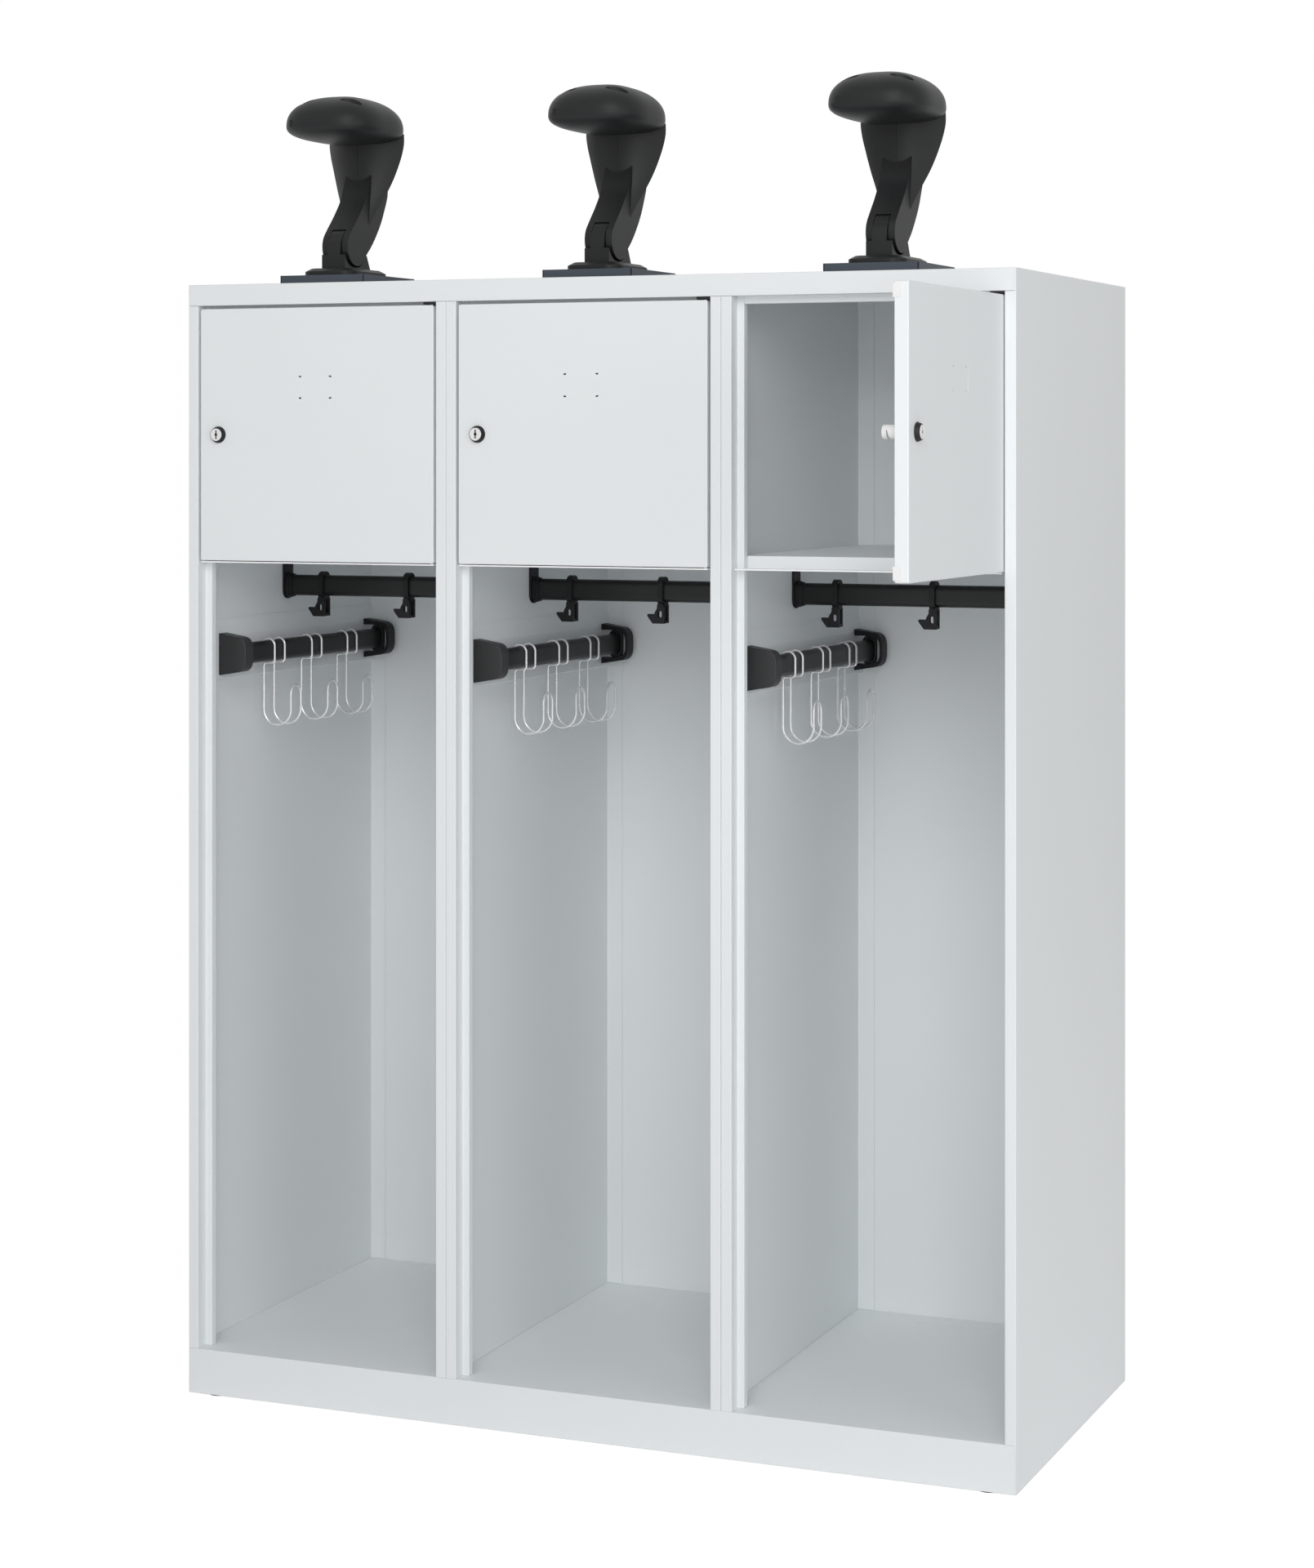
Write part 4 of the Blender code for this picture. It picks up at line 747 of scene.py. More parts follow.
@dataclass(frozen=True)
class Finish:
    """A surface: its two mingled colours, its gloss and the relief of its skin."""

    name: str
    slot: str
    colour: Colour
    tint: Colour
    rough_low: float
    rough_high: float
    grain: Grain
    relief: float
    metallic: float = 0.0
    specular: float = 0.5
    patch_scale: float = 7.0
    patch_detail: float = 4.0
    noise_low: float = 0.3
    noise_high: float = 0.7

    def material(self) -> bpy.types.Material:
        """The finish as a node material, made once."""
        known = bpy.data.materials.get(self.name)
        if known:
            return known
        material = bpy.data.materials.new(self.name)
        material.use_nodes = True
        tree = material.node_tree
        place = add_node(tree, "ShaderNodeTexCoord", {}).outputs["Object"]
        patches = add_node(
            tree,
            "ShaderNodeTexNoise",
            {"Vector": place, "Scale": self.patch_scale, "Detail": self.patch_detail},
        ).outputs["Fac"]
        mingle = add_node(
            tree,
            "ShaderNodeMix",
            {"Factor": patches, "A": (*self.colour, 1.0), "B": (*self.tint, 1.0)},
            data_type="RGBA",
        )
        scaled = add_node(tree, "ShaderNodeMapping", {"Vector": place, "Scale": self.grain.value})
        grain = add_node(
            tree, "ShaderNodeTexNoise", {"Vector": scaled.outputs["Vector"], "Scale": 1.0, "Detail": 2.0}
        ).outputs["Fac"]
        blend = add_node(tree, "ShaderNodeMix", {"A": patches, "B": grain})
        gloss = add_node(
            tree,
            "ShaderNodeMapRange",
            {
                "Value": blend.outputs["Result"],
                "From Min": self.noise_low,
                "From Max": self.noise_high,
                "To Min": self.rough_low,
                "To Max": self.rough_high,
            },
        )
        bump = add_node(
            tree, "ShaderNodeBump", {"Height": grain, "Strength": 1.0, "Distance": self.relief}
        )
        shader = tree.nodes["Principled BSDF"]
        shader.inputs["Metallic"].default_value = self.metallic
        shader.inputs["Specular IOR Level"].default_value = self.specular
        tree.links.new(mingle.outputs["Result"], shader.inputs["Base Color"])
        tree.links.new(gloss.outputs["Result"], shader.inputs["Roughness"])
        tree.links.new(bump.outputs["Normal"], shader.inputs["Normal"])
        return material


POWDER_COAT = Finish(
    "light_grey_powder_coat", "powder_coat", (0.805, 0.835, 0.847), (0.825, 0.853, 0.864), 0.42,
    0.52, Grain.COAT, 0.000010, specular=0.4,
)
# Painted highlight: the lip is coloured lighter than the powder coat to stand in for the highlight along it;
# its higher gloss is the lip's own.
PAINTED_HIGHLIGHT_LIP_COAT = Finish(
    "painted_highlight_lip_coat", "powder_coat", (0.955, 0.96, 0.965), (0.97, 0.975, 0.98), 0.26, 0.32,
    Grain.COAT, 0.000006, specular=1.0,
)
BLACK_PLASTIC = Finish(
    "black_moulded_plastic", "black_plastic", (0.0105, 0.0110, 0.0115), (0.0145, 0.0150, 0.0160),
    0.40, 0.52, Grain.MOULDED, 0.000012, specular=0.22,
)
BLACK_TUBE = Finish(
    "black_tube_coat", "black_tube", (0.0085, 0.0088, 0.0092), (0.0120, 0.0124, 0.0128), 0.34, 0.44,
    Grain.COAT, 0.000008, specular=0.3,
)
# Painted light: a lighter copy of the black plastic, for the front bracket only; the rear bracket is the
# same plastic.
PAINTED_LIGHT_BRACKET_PLASTIC = Finish(
    "black_plastic_painted_lighter", "black_plastic", (0.0320, 0.0325, 0.0335), (0.0380, 0.0385, 0.0395),
    0.40, 0.52, Grain.MOULDED, 0.000012, specular=0.3,
)
WHITE_PLASTIC = Finish(
    "white_moulded_plastic", "white_plastic", (0.80, 0.80, 0.79), (0.84, 0.84, 0.83), 0.32, 0.42,
    Grain.MOULDED, 0.000008,
)
CHROME_WIRE = Finish(
    "plated_wire", "chrome_wire", (0.82, 0.82, 0.83), (0.88, 0.88, 0.89), 0.20, 0.30, Grain.DRAWN,
    0.000006, metallic=0.4, patch_scale=60.0,
)
SLATE_COAT = Finish(
    "slate_plate_coat", "slate_coat", (0.050, 0.061, 0.078), (0.060, 0.072, 0.090), 0.42, 0.54,
    Grain.COAT, 0.000012, specular=0.3,
)


# The frame's places


class Places:
    """Planes and lines of the body, read from the frame."""

    front_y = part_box("top_panel")[0].y
    rear_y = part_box("back_panel")[1].y
    base_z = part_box("back_panel")[0].z
    floor_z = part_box("floor_panel")[1].z
    top_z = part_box("top_panel")[1].z
    half_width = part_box("back_panel")[1].x
    shelf_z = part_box("shelf_1")[1].z
    door_low_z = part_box("door_1")[0].z
    door_high_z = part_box("door_1")[1].z
    back_y = rear_y - SHEET
    flange_y = back_y - GAP - HALF_SHEET


def joint_place(name: str) -> Vector:
    """Where a joint of the frame is."""
    return next(Vector(joint["pos_m"]) for joint in frame["joints"] if joint["name"] == name)


@dataclass(frozen=True)
class Bay:
    """One compartment: its number and its middle."""

    number: int

    @property
    def middle(self) -> float:
        """The middle of the compartment across."""
        low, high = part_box(f"shelf_{self.number}")
        return (low.x + high.x) / 2

    @property
    def door_turn(self) -> Matrix:
        """The turn of the door at rest about its pins, from closed."""
        low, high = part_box(f"door_{self.number}")
        angle = QUARTER if high.y - low.y > high.x - low.x else 0.0
        pin = joint_place(f"door_{self.number}_hinge")
        return Matrix.Translation(pin) @ Matrix.Rotation(angle, 4, "Z") @ Matrix.Translation(-pin)


BAYS = tuple(Bay(number) for number in (1, 2, 3))
PITCH = BAYS[1].middle - BAYS[0].middle


def made_once(make: Callable[..., Mesh]) -> Callable[..., Mesh]:
    """Has a shape made for one compartment only. The others get copies of it, moved across.

    Args:
        make: what makes the shape for a compartment.

    Returns:
        What gives each compartment its own copy.
    """
    known: dict[tuple[object, ...], tuple[float, Mesh]] = {}

    @functools.wraps(make)
    def placed(piece: object, *sizes: object) -> Mesh:
        """The copy for a compartment."""
        key = (getattr(piece, "letter", ""), *sizes)
        if key not in known:
            known[key] = (piece.bay.middle, make(piece, *sizes))
        start, shape = known[key]
        mesh = shape.copy()
        mesh.transform(Matrix.Translation((piece.bay.middle - start, 0.0, 0.0)))
        return mesh

    return placed


def add_piece(
    name: str,
    mesh: Mesh,
    finish: Finish,
    body: str,
    nodes: Iterable[str] = (),
) -> bpy.types.Object:
    """Adds a finished piece to the scene.

    Args:
        name: the piece's name.
        mesh: its shape, in place.
        finish: its surface.
        body: the body of the frame that it moves with.
        nodes: the nodes of the frame that it stands for.

    Returns:
        The object.
    """
    mesh.name = name
    mesh.materials.clear()
    mesh.materials.append(finish.material())
    obj = bpy.data.objects.new(name, mesh)
    bpy.context.scene.collection.objects.link(obj)
    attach(obj, body)
    if nodes:
        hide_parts(*nodes)
    LOG.info("%s: %d faces, moves with %s", name, len(mesh.polygons), body)
    return obj


# Carcass


@dataclass(frozen=True)
class Carcass:
    """The folded sheet body: walls with their posts, the top with its rail and the floor with its plinth."""

    rail_height: float = 0.029
    post_face: float = 0.015
    frame_return: float = 0.020
    stop_width: float = 0.0095
    stop_return: float = 0.010
    rear_flange: float = 0.025
    plinth_return: float = 0.022
    vent_count: int = 12
    vent_pitch: float = 0.0176
    vent_width: float = 0.011
    vent_depth: float = 0.012
    vent_from_rear: float = 0.0325
    vent_corner: float = 0.0018
    vent_sink: float = 0.0003
    foot_radius: float = 0.015
    foot_inset: float = 0.040
    foot_set_back: float = 0.0165
    stud_radius: float = 0.004
    stud_height: float = 0.028

    @property
    def rail_z(self) -> float:
        """The lower edge of the front rail."""
        return Places.top_z - self.rail_height

    @property
    def half_opening(self) -> float:
        """Half the width between two posts."""
        return PITCH / 2 - self.post_face

    @property
    def wall_inner(self) -> float:
        """Half the width between the walls of a compartment."""
        return PITCH / 2 - GAP / 2 - SHEET

    def wall_line(self, side: int, skin_x: float, post_x: float) -> Ring:
        """The plan of a wall.

        Args:
            side: -1 for a left wall, 1 for a right one.
            skin_x: where the wall is.
            post_x: where the return behind its post is.

        Returns:
            The line from the rear flange round the post to the door stop.
        """
        front = Places.front_y
        line = [
            (skin_x - side * self.rear_flange, Places.flange_y), (skin_x, Places.flange_y),
            (skin_x, front + HALF_SHEET), (post_x, front + HALF_SHEET),
            (post_x, front + self.frame_return + HALF_SHEET),
        ]
        if side < 0:
            stop_x = post_x + self.stop_width
            line.append((stop_x, front + self.frame_return + HALF_SHEET))
            line.append((stop_x, front + self.frame_return + self.stop_return))
        return line

    def wall(self, bay: Bay, side: int) -> None:
        """Makes one side wall of a compartment.

        Args:
            bay: the compartment.
            side: -1 for its left wall, 1 for its right one.
        """
        outer = (bay.number, side) in ((BAYS[0].number, -1), (BAYS[-1].number, 1))
        inset = HALF_SHEET if outer else HALF_SHEET + GAP / 2
        skin_x = bay.middle + side * (PITCH / 2 - inset)
        line = self.wall_line(side, skin_x, bay.middle + side * (self.half_opening + HALF_SHEET))
        folds = range(2, len(line) - 1)
        stations = [Places.floor_z + GAP, self.rail_z - GAP, Places.top_z - SHEET - GAP]
        skipped = {(fold, 1) for fold in folds}
        if outer:
            stations = [Places.base_z, *stations, Places.top_z]
            skipped = {(fold, row) for fold in folds for row in (0, 2)}
            skipped |= {(column, 3) for column in (0, *folds)} | {(0, 0)}
        sheet = FoldedSheet(line, Axis.Z, stations, frozenset(skipped))
        word = "left" if side < 0 else "right"
        node = f"wall_{word}_{bay.number}"
        work = Workpiece(sheet.mesh()).thicken(SHEET)
        if not outer:
            low = (skin_x - side * SHEET - OVERRUN, Places.front_y - OVERRUN, self.rail_z - GAP)
            high = (skin_x + OVERRUN, Places.front_y + self.frame_return + SHEET, Places.top_z)
            work.cut(block(low, high))
        add_piece(f"{node}_sheet", work.mesh(), POWDER_COAT, "carcass", [node])

    def top(self) -> None:
        """Makes the top panel with the rail across its front and the stops in the openings."""
        face_y = Places.front_y + HALF_SHEET
        stop_y = Places.front_y + self.frame_return + HALF_SHEET
        stop_z = self.rail_z - self.stop_width + HALF_SHEET
        line = [
            (Places.back_y - GAP, Places.top_z - HALF_SHEET), (face_y, Places.top_z - HALF_SHEET),
            (face_y, self.rail_z + HALF_SHEET), (stop_y, self.rail_z + HALF_SHEET),
            (stop_y, stop_z), (Places.front_y + self.frame_return + self.stop_return, stop_z),
        ]
        end = Places.half_width - SHEET - GAP
        stations = [-end]
        for bay in BAYS:
            stations.append(bay.middle - self.half_opening + self.stop_width + GAP)
            stations.append(bay.middle + self.half_opening - GAP)
        stations.append(end)
        skipped = {(fold, row) for fold in (3, 4) for row in range(0, len(stations), 2)}
        sheet = FoldedSheet(line, Axis.X, stations, frozenset(skipped))
        work = Workpiece(sheet.mesh()).thicken(SHEET)
        add_piece("top_sheet", work.mesh(), POWDER_COAT, "carcass", ["top_panel"])

    def floor(self) -> None:
        """Makes the floor panel with the plinth folded down in front and behind, and its pressed marks."""
        low_z = Places.base_z + HALF_SHEET
        high_z = Places.floor_z - HALF_SHEET
        face_y = Places.front_y + HALF_SHEET
        line = [
            (Places.flange_y - self.plinth_return, low_z), (Places.flange_y, low_z),
            (Places.flange_y, high_z), (face_y, high_z), (face_y, low_z),
            (face_y + self.plinth_return, low_z),
        ]
        end = Places.half_width - SHEET - GAP
        work = Workpiece(FoldedSheet(line, Axis.X, [-end, end]).mesh()).thicken(SHEET)
        work.cut(*(self.vents(bay) for bay in BAYS))
        add_piece("floor_sheet", work.mesh(), POWDER_COAT, "carcass", ["floor_panel"])
        feet = []
        for x in (-Places.half_width + self.foot_inset, Places.half_width - self.foot_inset):
            for y in (Places.front_y + self.foot_set_back, Places.flange_y - self.foot_set_back):
                feet.append(self.foot(x, y))
        add_piece("levelling_feet", Workpiece(merged(feet)).mesh(), BLACK_PLASTIC, "carcass")

    def vents(self, bay: Bay) -> Mesh:
        """Makes the row of shallow marks at the rear of a compartment.

        Args:
            bay: the compartment.

        Returns:
            The bodies that cut them.
        """
        start = bay.middle - (self.vent_count - 1) / 2 * self.vent_pitch
        tree = bpy_trees.setdefault("vent_row", row_tree("vent_row", False))
        return tree.baked(
            Count=self.vent_count,
            Start=(start, Places.rear_y - self.vent_from_rear, Places.floor_z - self.vent_sink),
            Step=(self.vent_pitch, 0.0, 0.0),
            Width=self.vent_width,
            Depth=self.vent_depth,
            Height=self.vent_sink + OVERRUN,
            Corner=self.vent_corner,
            Material=POWDER_COAT.material(),
        )

    def foot(self, x: float, y: float) -> Mesh:
        """Makes a levelling foot on its stud.

        Args:
            x: its place across.
            y: its place in depth.

        Returns:
            The closed mesh.
        """
        disc_top = Places.base_z - GAP / 2
        edge = disc_top / 3
        profile = [
            (0, self.stud_height), (self.stud_radius - edge, self.stud_height),
            (self.stud_radius, self.stud_height - edge), (self.stud_radius, disc_top),
            (self.foot_radius - edge, disc_top), (self.foot_radius, disc_top - edge),
            (self.foot_radius, edge), (self.foot_radius - edge, 0), (0, 0),
        ]
        return turned(profile, (x, y, 0), Axis.Z)

    def build(self) -> None:
        """Makes the body and dresses the back panel that is kept from the frame."""
        for bay in BAYS:
            self.wall(bay, -1)
            self.wall(bay, 1)
        self.top()
        self.floor()
        panel = frame["nodes"]["back_panel"].data
        panel.materials.clear()
        panel.materials.append(POWDER_COAT.material())


bpy_trees: dict[str, RepeatTree] = {}
CARCASS = Carcass()


@dataclass(frozen=True)
class TopBox:
    """The floor of a top box with its lip, and the black hinge block over the door's hinge corner."""

    bay: Bay
    front_depth: float = 0.031
    rear_fold: float = 0.015
    lip_thickness: float = 0.002
    lip_front_depth: float = 0.003
    lip_left_gap: float = 0.0026
    lip_right_gap: float = 0.0048
    lip_gap: float = 0.001
    pin_radius: float = 0.0025
    pin_above_lip: float = 0.011
    pin_steps: int = 24
    lip_edge: float = 0.0004
    block_corner: float = 0.001
    block_edge: float = 0.0003

    @property
    def lip_z(self) -> float:
        """The upper face of the lip."""
        return Places.door_low_z - self.lip_gap

    def shelf(self) -> None:
        """Makes the shelf and the lip under the door, lightened to a painted highlight."""
        bay = self.bay
        half = CARCASS.wall_inner - GAP
        fold_y = Places.front_y + self.front_depth + HALF_SHEET
        rear_y = Places.flange_y - SHEET - GAP
        top_z = Places.shelf_z - HALF_SHEET
        line = [
            (rear_y, Places.shelf_z - self.rear_fold), (rear_y, top_z), (fold_y, top_z),
            (fold_y, self.lip_z - self.lip_thickness),
        ]
        sheet = FoldedSheet(line, Axis.X, [bay.middle - half, bay.middle + half])
        work = Workpiece(sheet.mesh()).thicken(SHEET)
        add_piece(f"shelf_sheet_{bay.number}", work.mesh(), POWDER_COAT, "carcass", [f"shelf_{bay.number}"])
        left = bay.middle - CARCASS.half_opening
        notch_x = left + CARCASS.stop_width + GAP
        notch_y = Places.front_y + CARCASS.frame_return - GAP
        front_y = Places.front_y + self.lip_front_depth
        outline = [
            (left + self.lip_left_gap, front_y),
            (bay.middle + CARCASS.half_opening - self.lip_right_gap, front_y),
            (bay.middle + CARCASS.half_opening - self.lip_right_gap, fold_y - HALF_SHEET),
            (notch_x, fold_y - HALF_SHEET), (notch_x, notch_y), (left + self.lip_left_gap, notch_y),
        ]
        lip = Workpiece(prism([outline], Axis.Z, self.lip_z - self.lip_thickness, self.lip_z))
        # The lip's lighter colour is a painted highlight.
        add_piece(f"shelf_lip_{bay.number}", lip.soften(self.lip_edge).mesh(), PAINTED_HIGHLIGHT_LIP_COAT, "carcass")

    def hinge_block(self) -> None:
        """Makes the hinge block with the upper pin, and the lower pin in the lip."""
        bay = self.bay
        node = f"hinge_block_{bay.number}"
        low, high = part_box(node)
        pin_x, pin_y, _ = joint_place(f"door_{bay.number}_hinge")
        block_low = Places.door_high_z + 2 * GAP
        block_high = CARCASS.rail_z - GAP
        centre = ((low.x + high.x) / 2, (low.y + high.y) / 2)
        outline = rounded_rectangle(centre, high.x - low.x, high.y - low.y, self.block_corner)
        work = Workpiece(prism([outline], Axis.Z, block_low, block_high)).soften(self.block_edge)
        add_piece(f"hinge_block_body_{bay.number}", work.mesh(), BLACK_PLASTIC, "carcass", [node])
        pins = [
            self.pin(pin_x, pin_y, low.z, high.z),
            self.pin(pin_x, pin_y, self.lip_z - self.lip_thickness, self.lip_z + self.pin_above_lip),
        ]
        add_piece(f"hinge_pins_{bay.number}", Workpiece(merged(pins)).mesh(), CHROME_WIRE, "carcass")

    def pin(self, x: float, y: float, low: float, high: float) -> Mesh:
        """Makes a steel pin with chamfered ends.

        Args:
            x: its place across.
            y: its place in depth.
            low: where it starts.
            high: where it ends.

        Returns:
            The closed mesh.
        """
        edge = self.pin_radius / 5
        profile = [
            (0, low), (self.pin_radius - edge, low), (self.pin_radius, low + edge),
            (self.pin_radius, high - edge), (self.pin_radius - edge, high), (0, high),
        ]
        return turned(profile, (x, y, 0), Axis.Z, self.pin_steps)

    def build(self) -> None:
        """Makes all the pieces."""
        self.shelf()
        self.hinge_block()


# Doors


@dataclass(frozen=True)
class Door:
    """A folded door pan with its corner caps, lock ring and lock."""

    bay: Bay
    width: float = 0.362
    thickness: float = 0.0176
    corner_radius: float = 0.003
    edge_radius: float = 0.0015
    flange: float = 0.014
    edge_steps: int = 5
    label_slot_length: float = 0.0042
    label_slot_height: float = 0.0021
    label_spacing_x: float = 0.0468
    label_spacing_z: float = 0.0293
    label_below_top: float = 0.1089
    label_field_width: float = 0.0608
    label_field_height: float = 0.0302
    label_field_depth: float = 0.00015
    label_field_corner: float = 0.0015
    cap_height: float = 0.0165
    cap_side_length: float = 0.009
    cap_rear_length: float = 0.013
    cap_side_thickness: float = 0.0009
    cap_rear_thickness: float = 0.0016
    cap_edge: float = 0.00025
    lock_from_edge: float = 0.0288
    lock_radius: float = 0.0085
    lock_proud: float = 0.007
    lock_behind: float = 0.019
    ring_radius: float = 0.0115
    ring_top_radius: float = 0.0094
    ring_height: float = 0.0063
    ring_foot: float = 0.0008
    ring_steps: int = 64

    @property
    def rear_y(self) -> float:
        """The plane of the door's back, closed."""
        return Places.front_y + self.thickness

    @property
    def centre(self) -> Point:
        """The middle of the door's face."""
        return self.bay.middle, (Places.door_low_z + Places.door_high_z) / 2

    @property
    def lock_place(self) -> Point:
        """The middle of the lock on the door's face."""
        return self.bay.middle - self.width / 2 + self.lock_from_edge, self.centre[1]

    def ring_at(self, inset: float, y: float, radius: float) -> list[Place]:
        """Draws the door's outline at a depth.

        Args:
            inset: how far in from the door's edge it is.
            y: its depth.
            radius: the radius of its corners.

        Returns:
            The points round it.
        """
        height = Places.door_high_z - Places.door_low_z
        outline = rounded_rectangle(self.centre, self.width - 2 * inset, height - 2 * inset, radius)
        return [(x, y, z) for x, z in outline]

    def pan(self) -> Mesh:
        """The closed folded pan with round front edges and a flange round its back."""
        front, rear = Places.front_y, self.rear_y
        edge = self.edge_radius
        rings = []
        turns = [QUARTER * step / self.edge_steps for step in range(self.edge_steps + 1)]
        for turn in turns:
            inset = edge * (1 - math.sin(turn))
            y = front + edge * (1 - math.cos(turn))
            rings.append(self.ring_at(inset, y, self.corner_radius - inset))
        for turn in turns:
            inset = SHEET * (1 - math.cos(turn))
            y = rear - SHEET * (1 - math.sin(turn))
            rings.append(self.ring_at(inset, y, self.corner_radius - inset))
        rings.append(self.ring_at(self.flange, rear, self.corner_radius))
        rings.append(self.ring_at(self.flange, rear - SHEET, self.corner_radius))
        rings.append(self.ring_at(SHEET, rear - SHEET, self.corner_radius - SHEET))
        rings.append(self.ring_at(SHEET, front + SHEET, self.corner_radius - SHEET))
        return lofted(rings)

    def label_cuts(self) -> list[Mesh]:
        """The slots that a label holder clips into, and the faint pressed field between them."""
        x, z = self.centre[0], Places.door_high_z - self.label_below_top
        front = Places.front_y
        cuts = []
        for side_x in (-1, 1):
            for side_z in (-1, 1):
                centre = (x + side_x * self.label_spacing_x / 2, z + side_z * self.label_spacing_z / 2)
                half, rise = self.label_slot_length / 2, self.label_slot_height / 2
                lean = side_x * side_z * rise / 2
                outline = [
                    (centre[0] - half + lean, centre[1] - rise),
                    (centre[0] + half + lean, centre[1] - rise),
                    (centre[0] + half - lean, centre[1] + rise),
                    (centre[0] - half - lean, centre[1] + rise),
                ]
                cuts.append(prism([rounded_off(outline)], Axis.Y, front - OVERRUN, front + OVERRUN))
        corner = self.label_field_corner
        field = rounded_rectangle((x, z), self.label_field_width, self.label_field_height, corner)
        cuts.append(prism([field], Axis.Y, front - OVERRUN, front + self.label_field_depth))
        return cuts

    @made_once
    def cap(self, low: float) -> Mesh:
        """Makes a corner cap clipped round the rear corner of the free edge.

        Args:
            low: where it starts.

        Returns:
            The mesh.
        """
        edge_x = self.bay.middle - self.width / 2
        rear = self.rear_y + self.cap_rear_thickness
        outer = edge_x - self.cap_side_thickness
        outline = [
            (outer, rear), (outer, self.rear_y - self.cap_side_length),
            (edge_x - HAIR, self.rear_y - self.cap_side_length),
            (edge_x - HAIR, self.rear_y + HAIR), (outer + self.cap_rear_length, self.rear_y + HAIR),
            (outer + self.cap_rear_length, rear),
        ]
        groove_z = low + self.cap_height / 2
        groove_low = (outer - OVERRUN, self.rear_y - self.cap_side_length - OVERRUN, groove_z - GAP)
        groove_high = (outer + GAP, rear + OVERRUN, groove_z + GAP)
        work = Workpiece(prism([outline], Axis.Z, low, low + self.cap_height))
        return work.cut(block(groove_low, groove_high)).soften(self.cap_edge).mesh()

    @made_once
    def ring(self) -> Mesh:
        """The conical ring round the lock."""
        x, z = self.lock_place
        inner = self.lock_radius + GAP
        top, rim = self.ring_height, self.ring_top_radius
        profile = [(inner, top - GAP), (inner + GAP, top), (rim - GAP, top), (rim, top - GAP)]
        profile += [(self.ring_radius, self.ring_foot), (self.ring_radius, 0), (inner, 0)]
        return Workpiece(turned(profile, (x, Places.front_y, z), Axis.Y, self.ring_steps)).mesh()

    @made_once
    def cut_pan(self) -> Mesh:
        """The pan with its lock hole, label slots and label field."""
        front = Places.front_y
        hole = cylinder(self.lock_place, self.lock_radius + GAP, Axis.Y, front - OVERRUN, front + OVERRUN)
        return Workpiece(self.pan()).cut(hole, *self.label_cuts()).mesh()

    def build(self) -> None:
        """Makes the door's pieces, turned to where the door rests."""
        bay = self.bay
        body = f"door_{bay.number}"
        low = Places.door_low_z + self.corner_radius
        high = Places.door_high_z - self.corner_radius - self.cap_height
        pieces = [
            (f"door_pan_{bay.number}", self.cut_pan(), POWDER_COAT, [body]),
            (f"door_caps_{bay.number}", merged([self.cap(low), self.cap(high)]), WHITE_PLASTIC, []),
            (f"lock_ring_{bay.number}", self.ring(), BLACK_PLASTIC, []),
        ]
        for name, mesh, finish, nodes in pieces:
            mesh.transform(bay.door_turn)
            add_piece(name, mesh, finish, body, nodes)
        Lock(self).build()


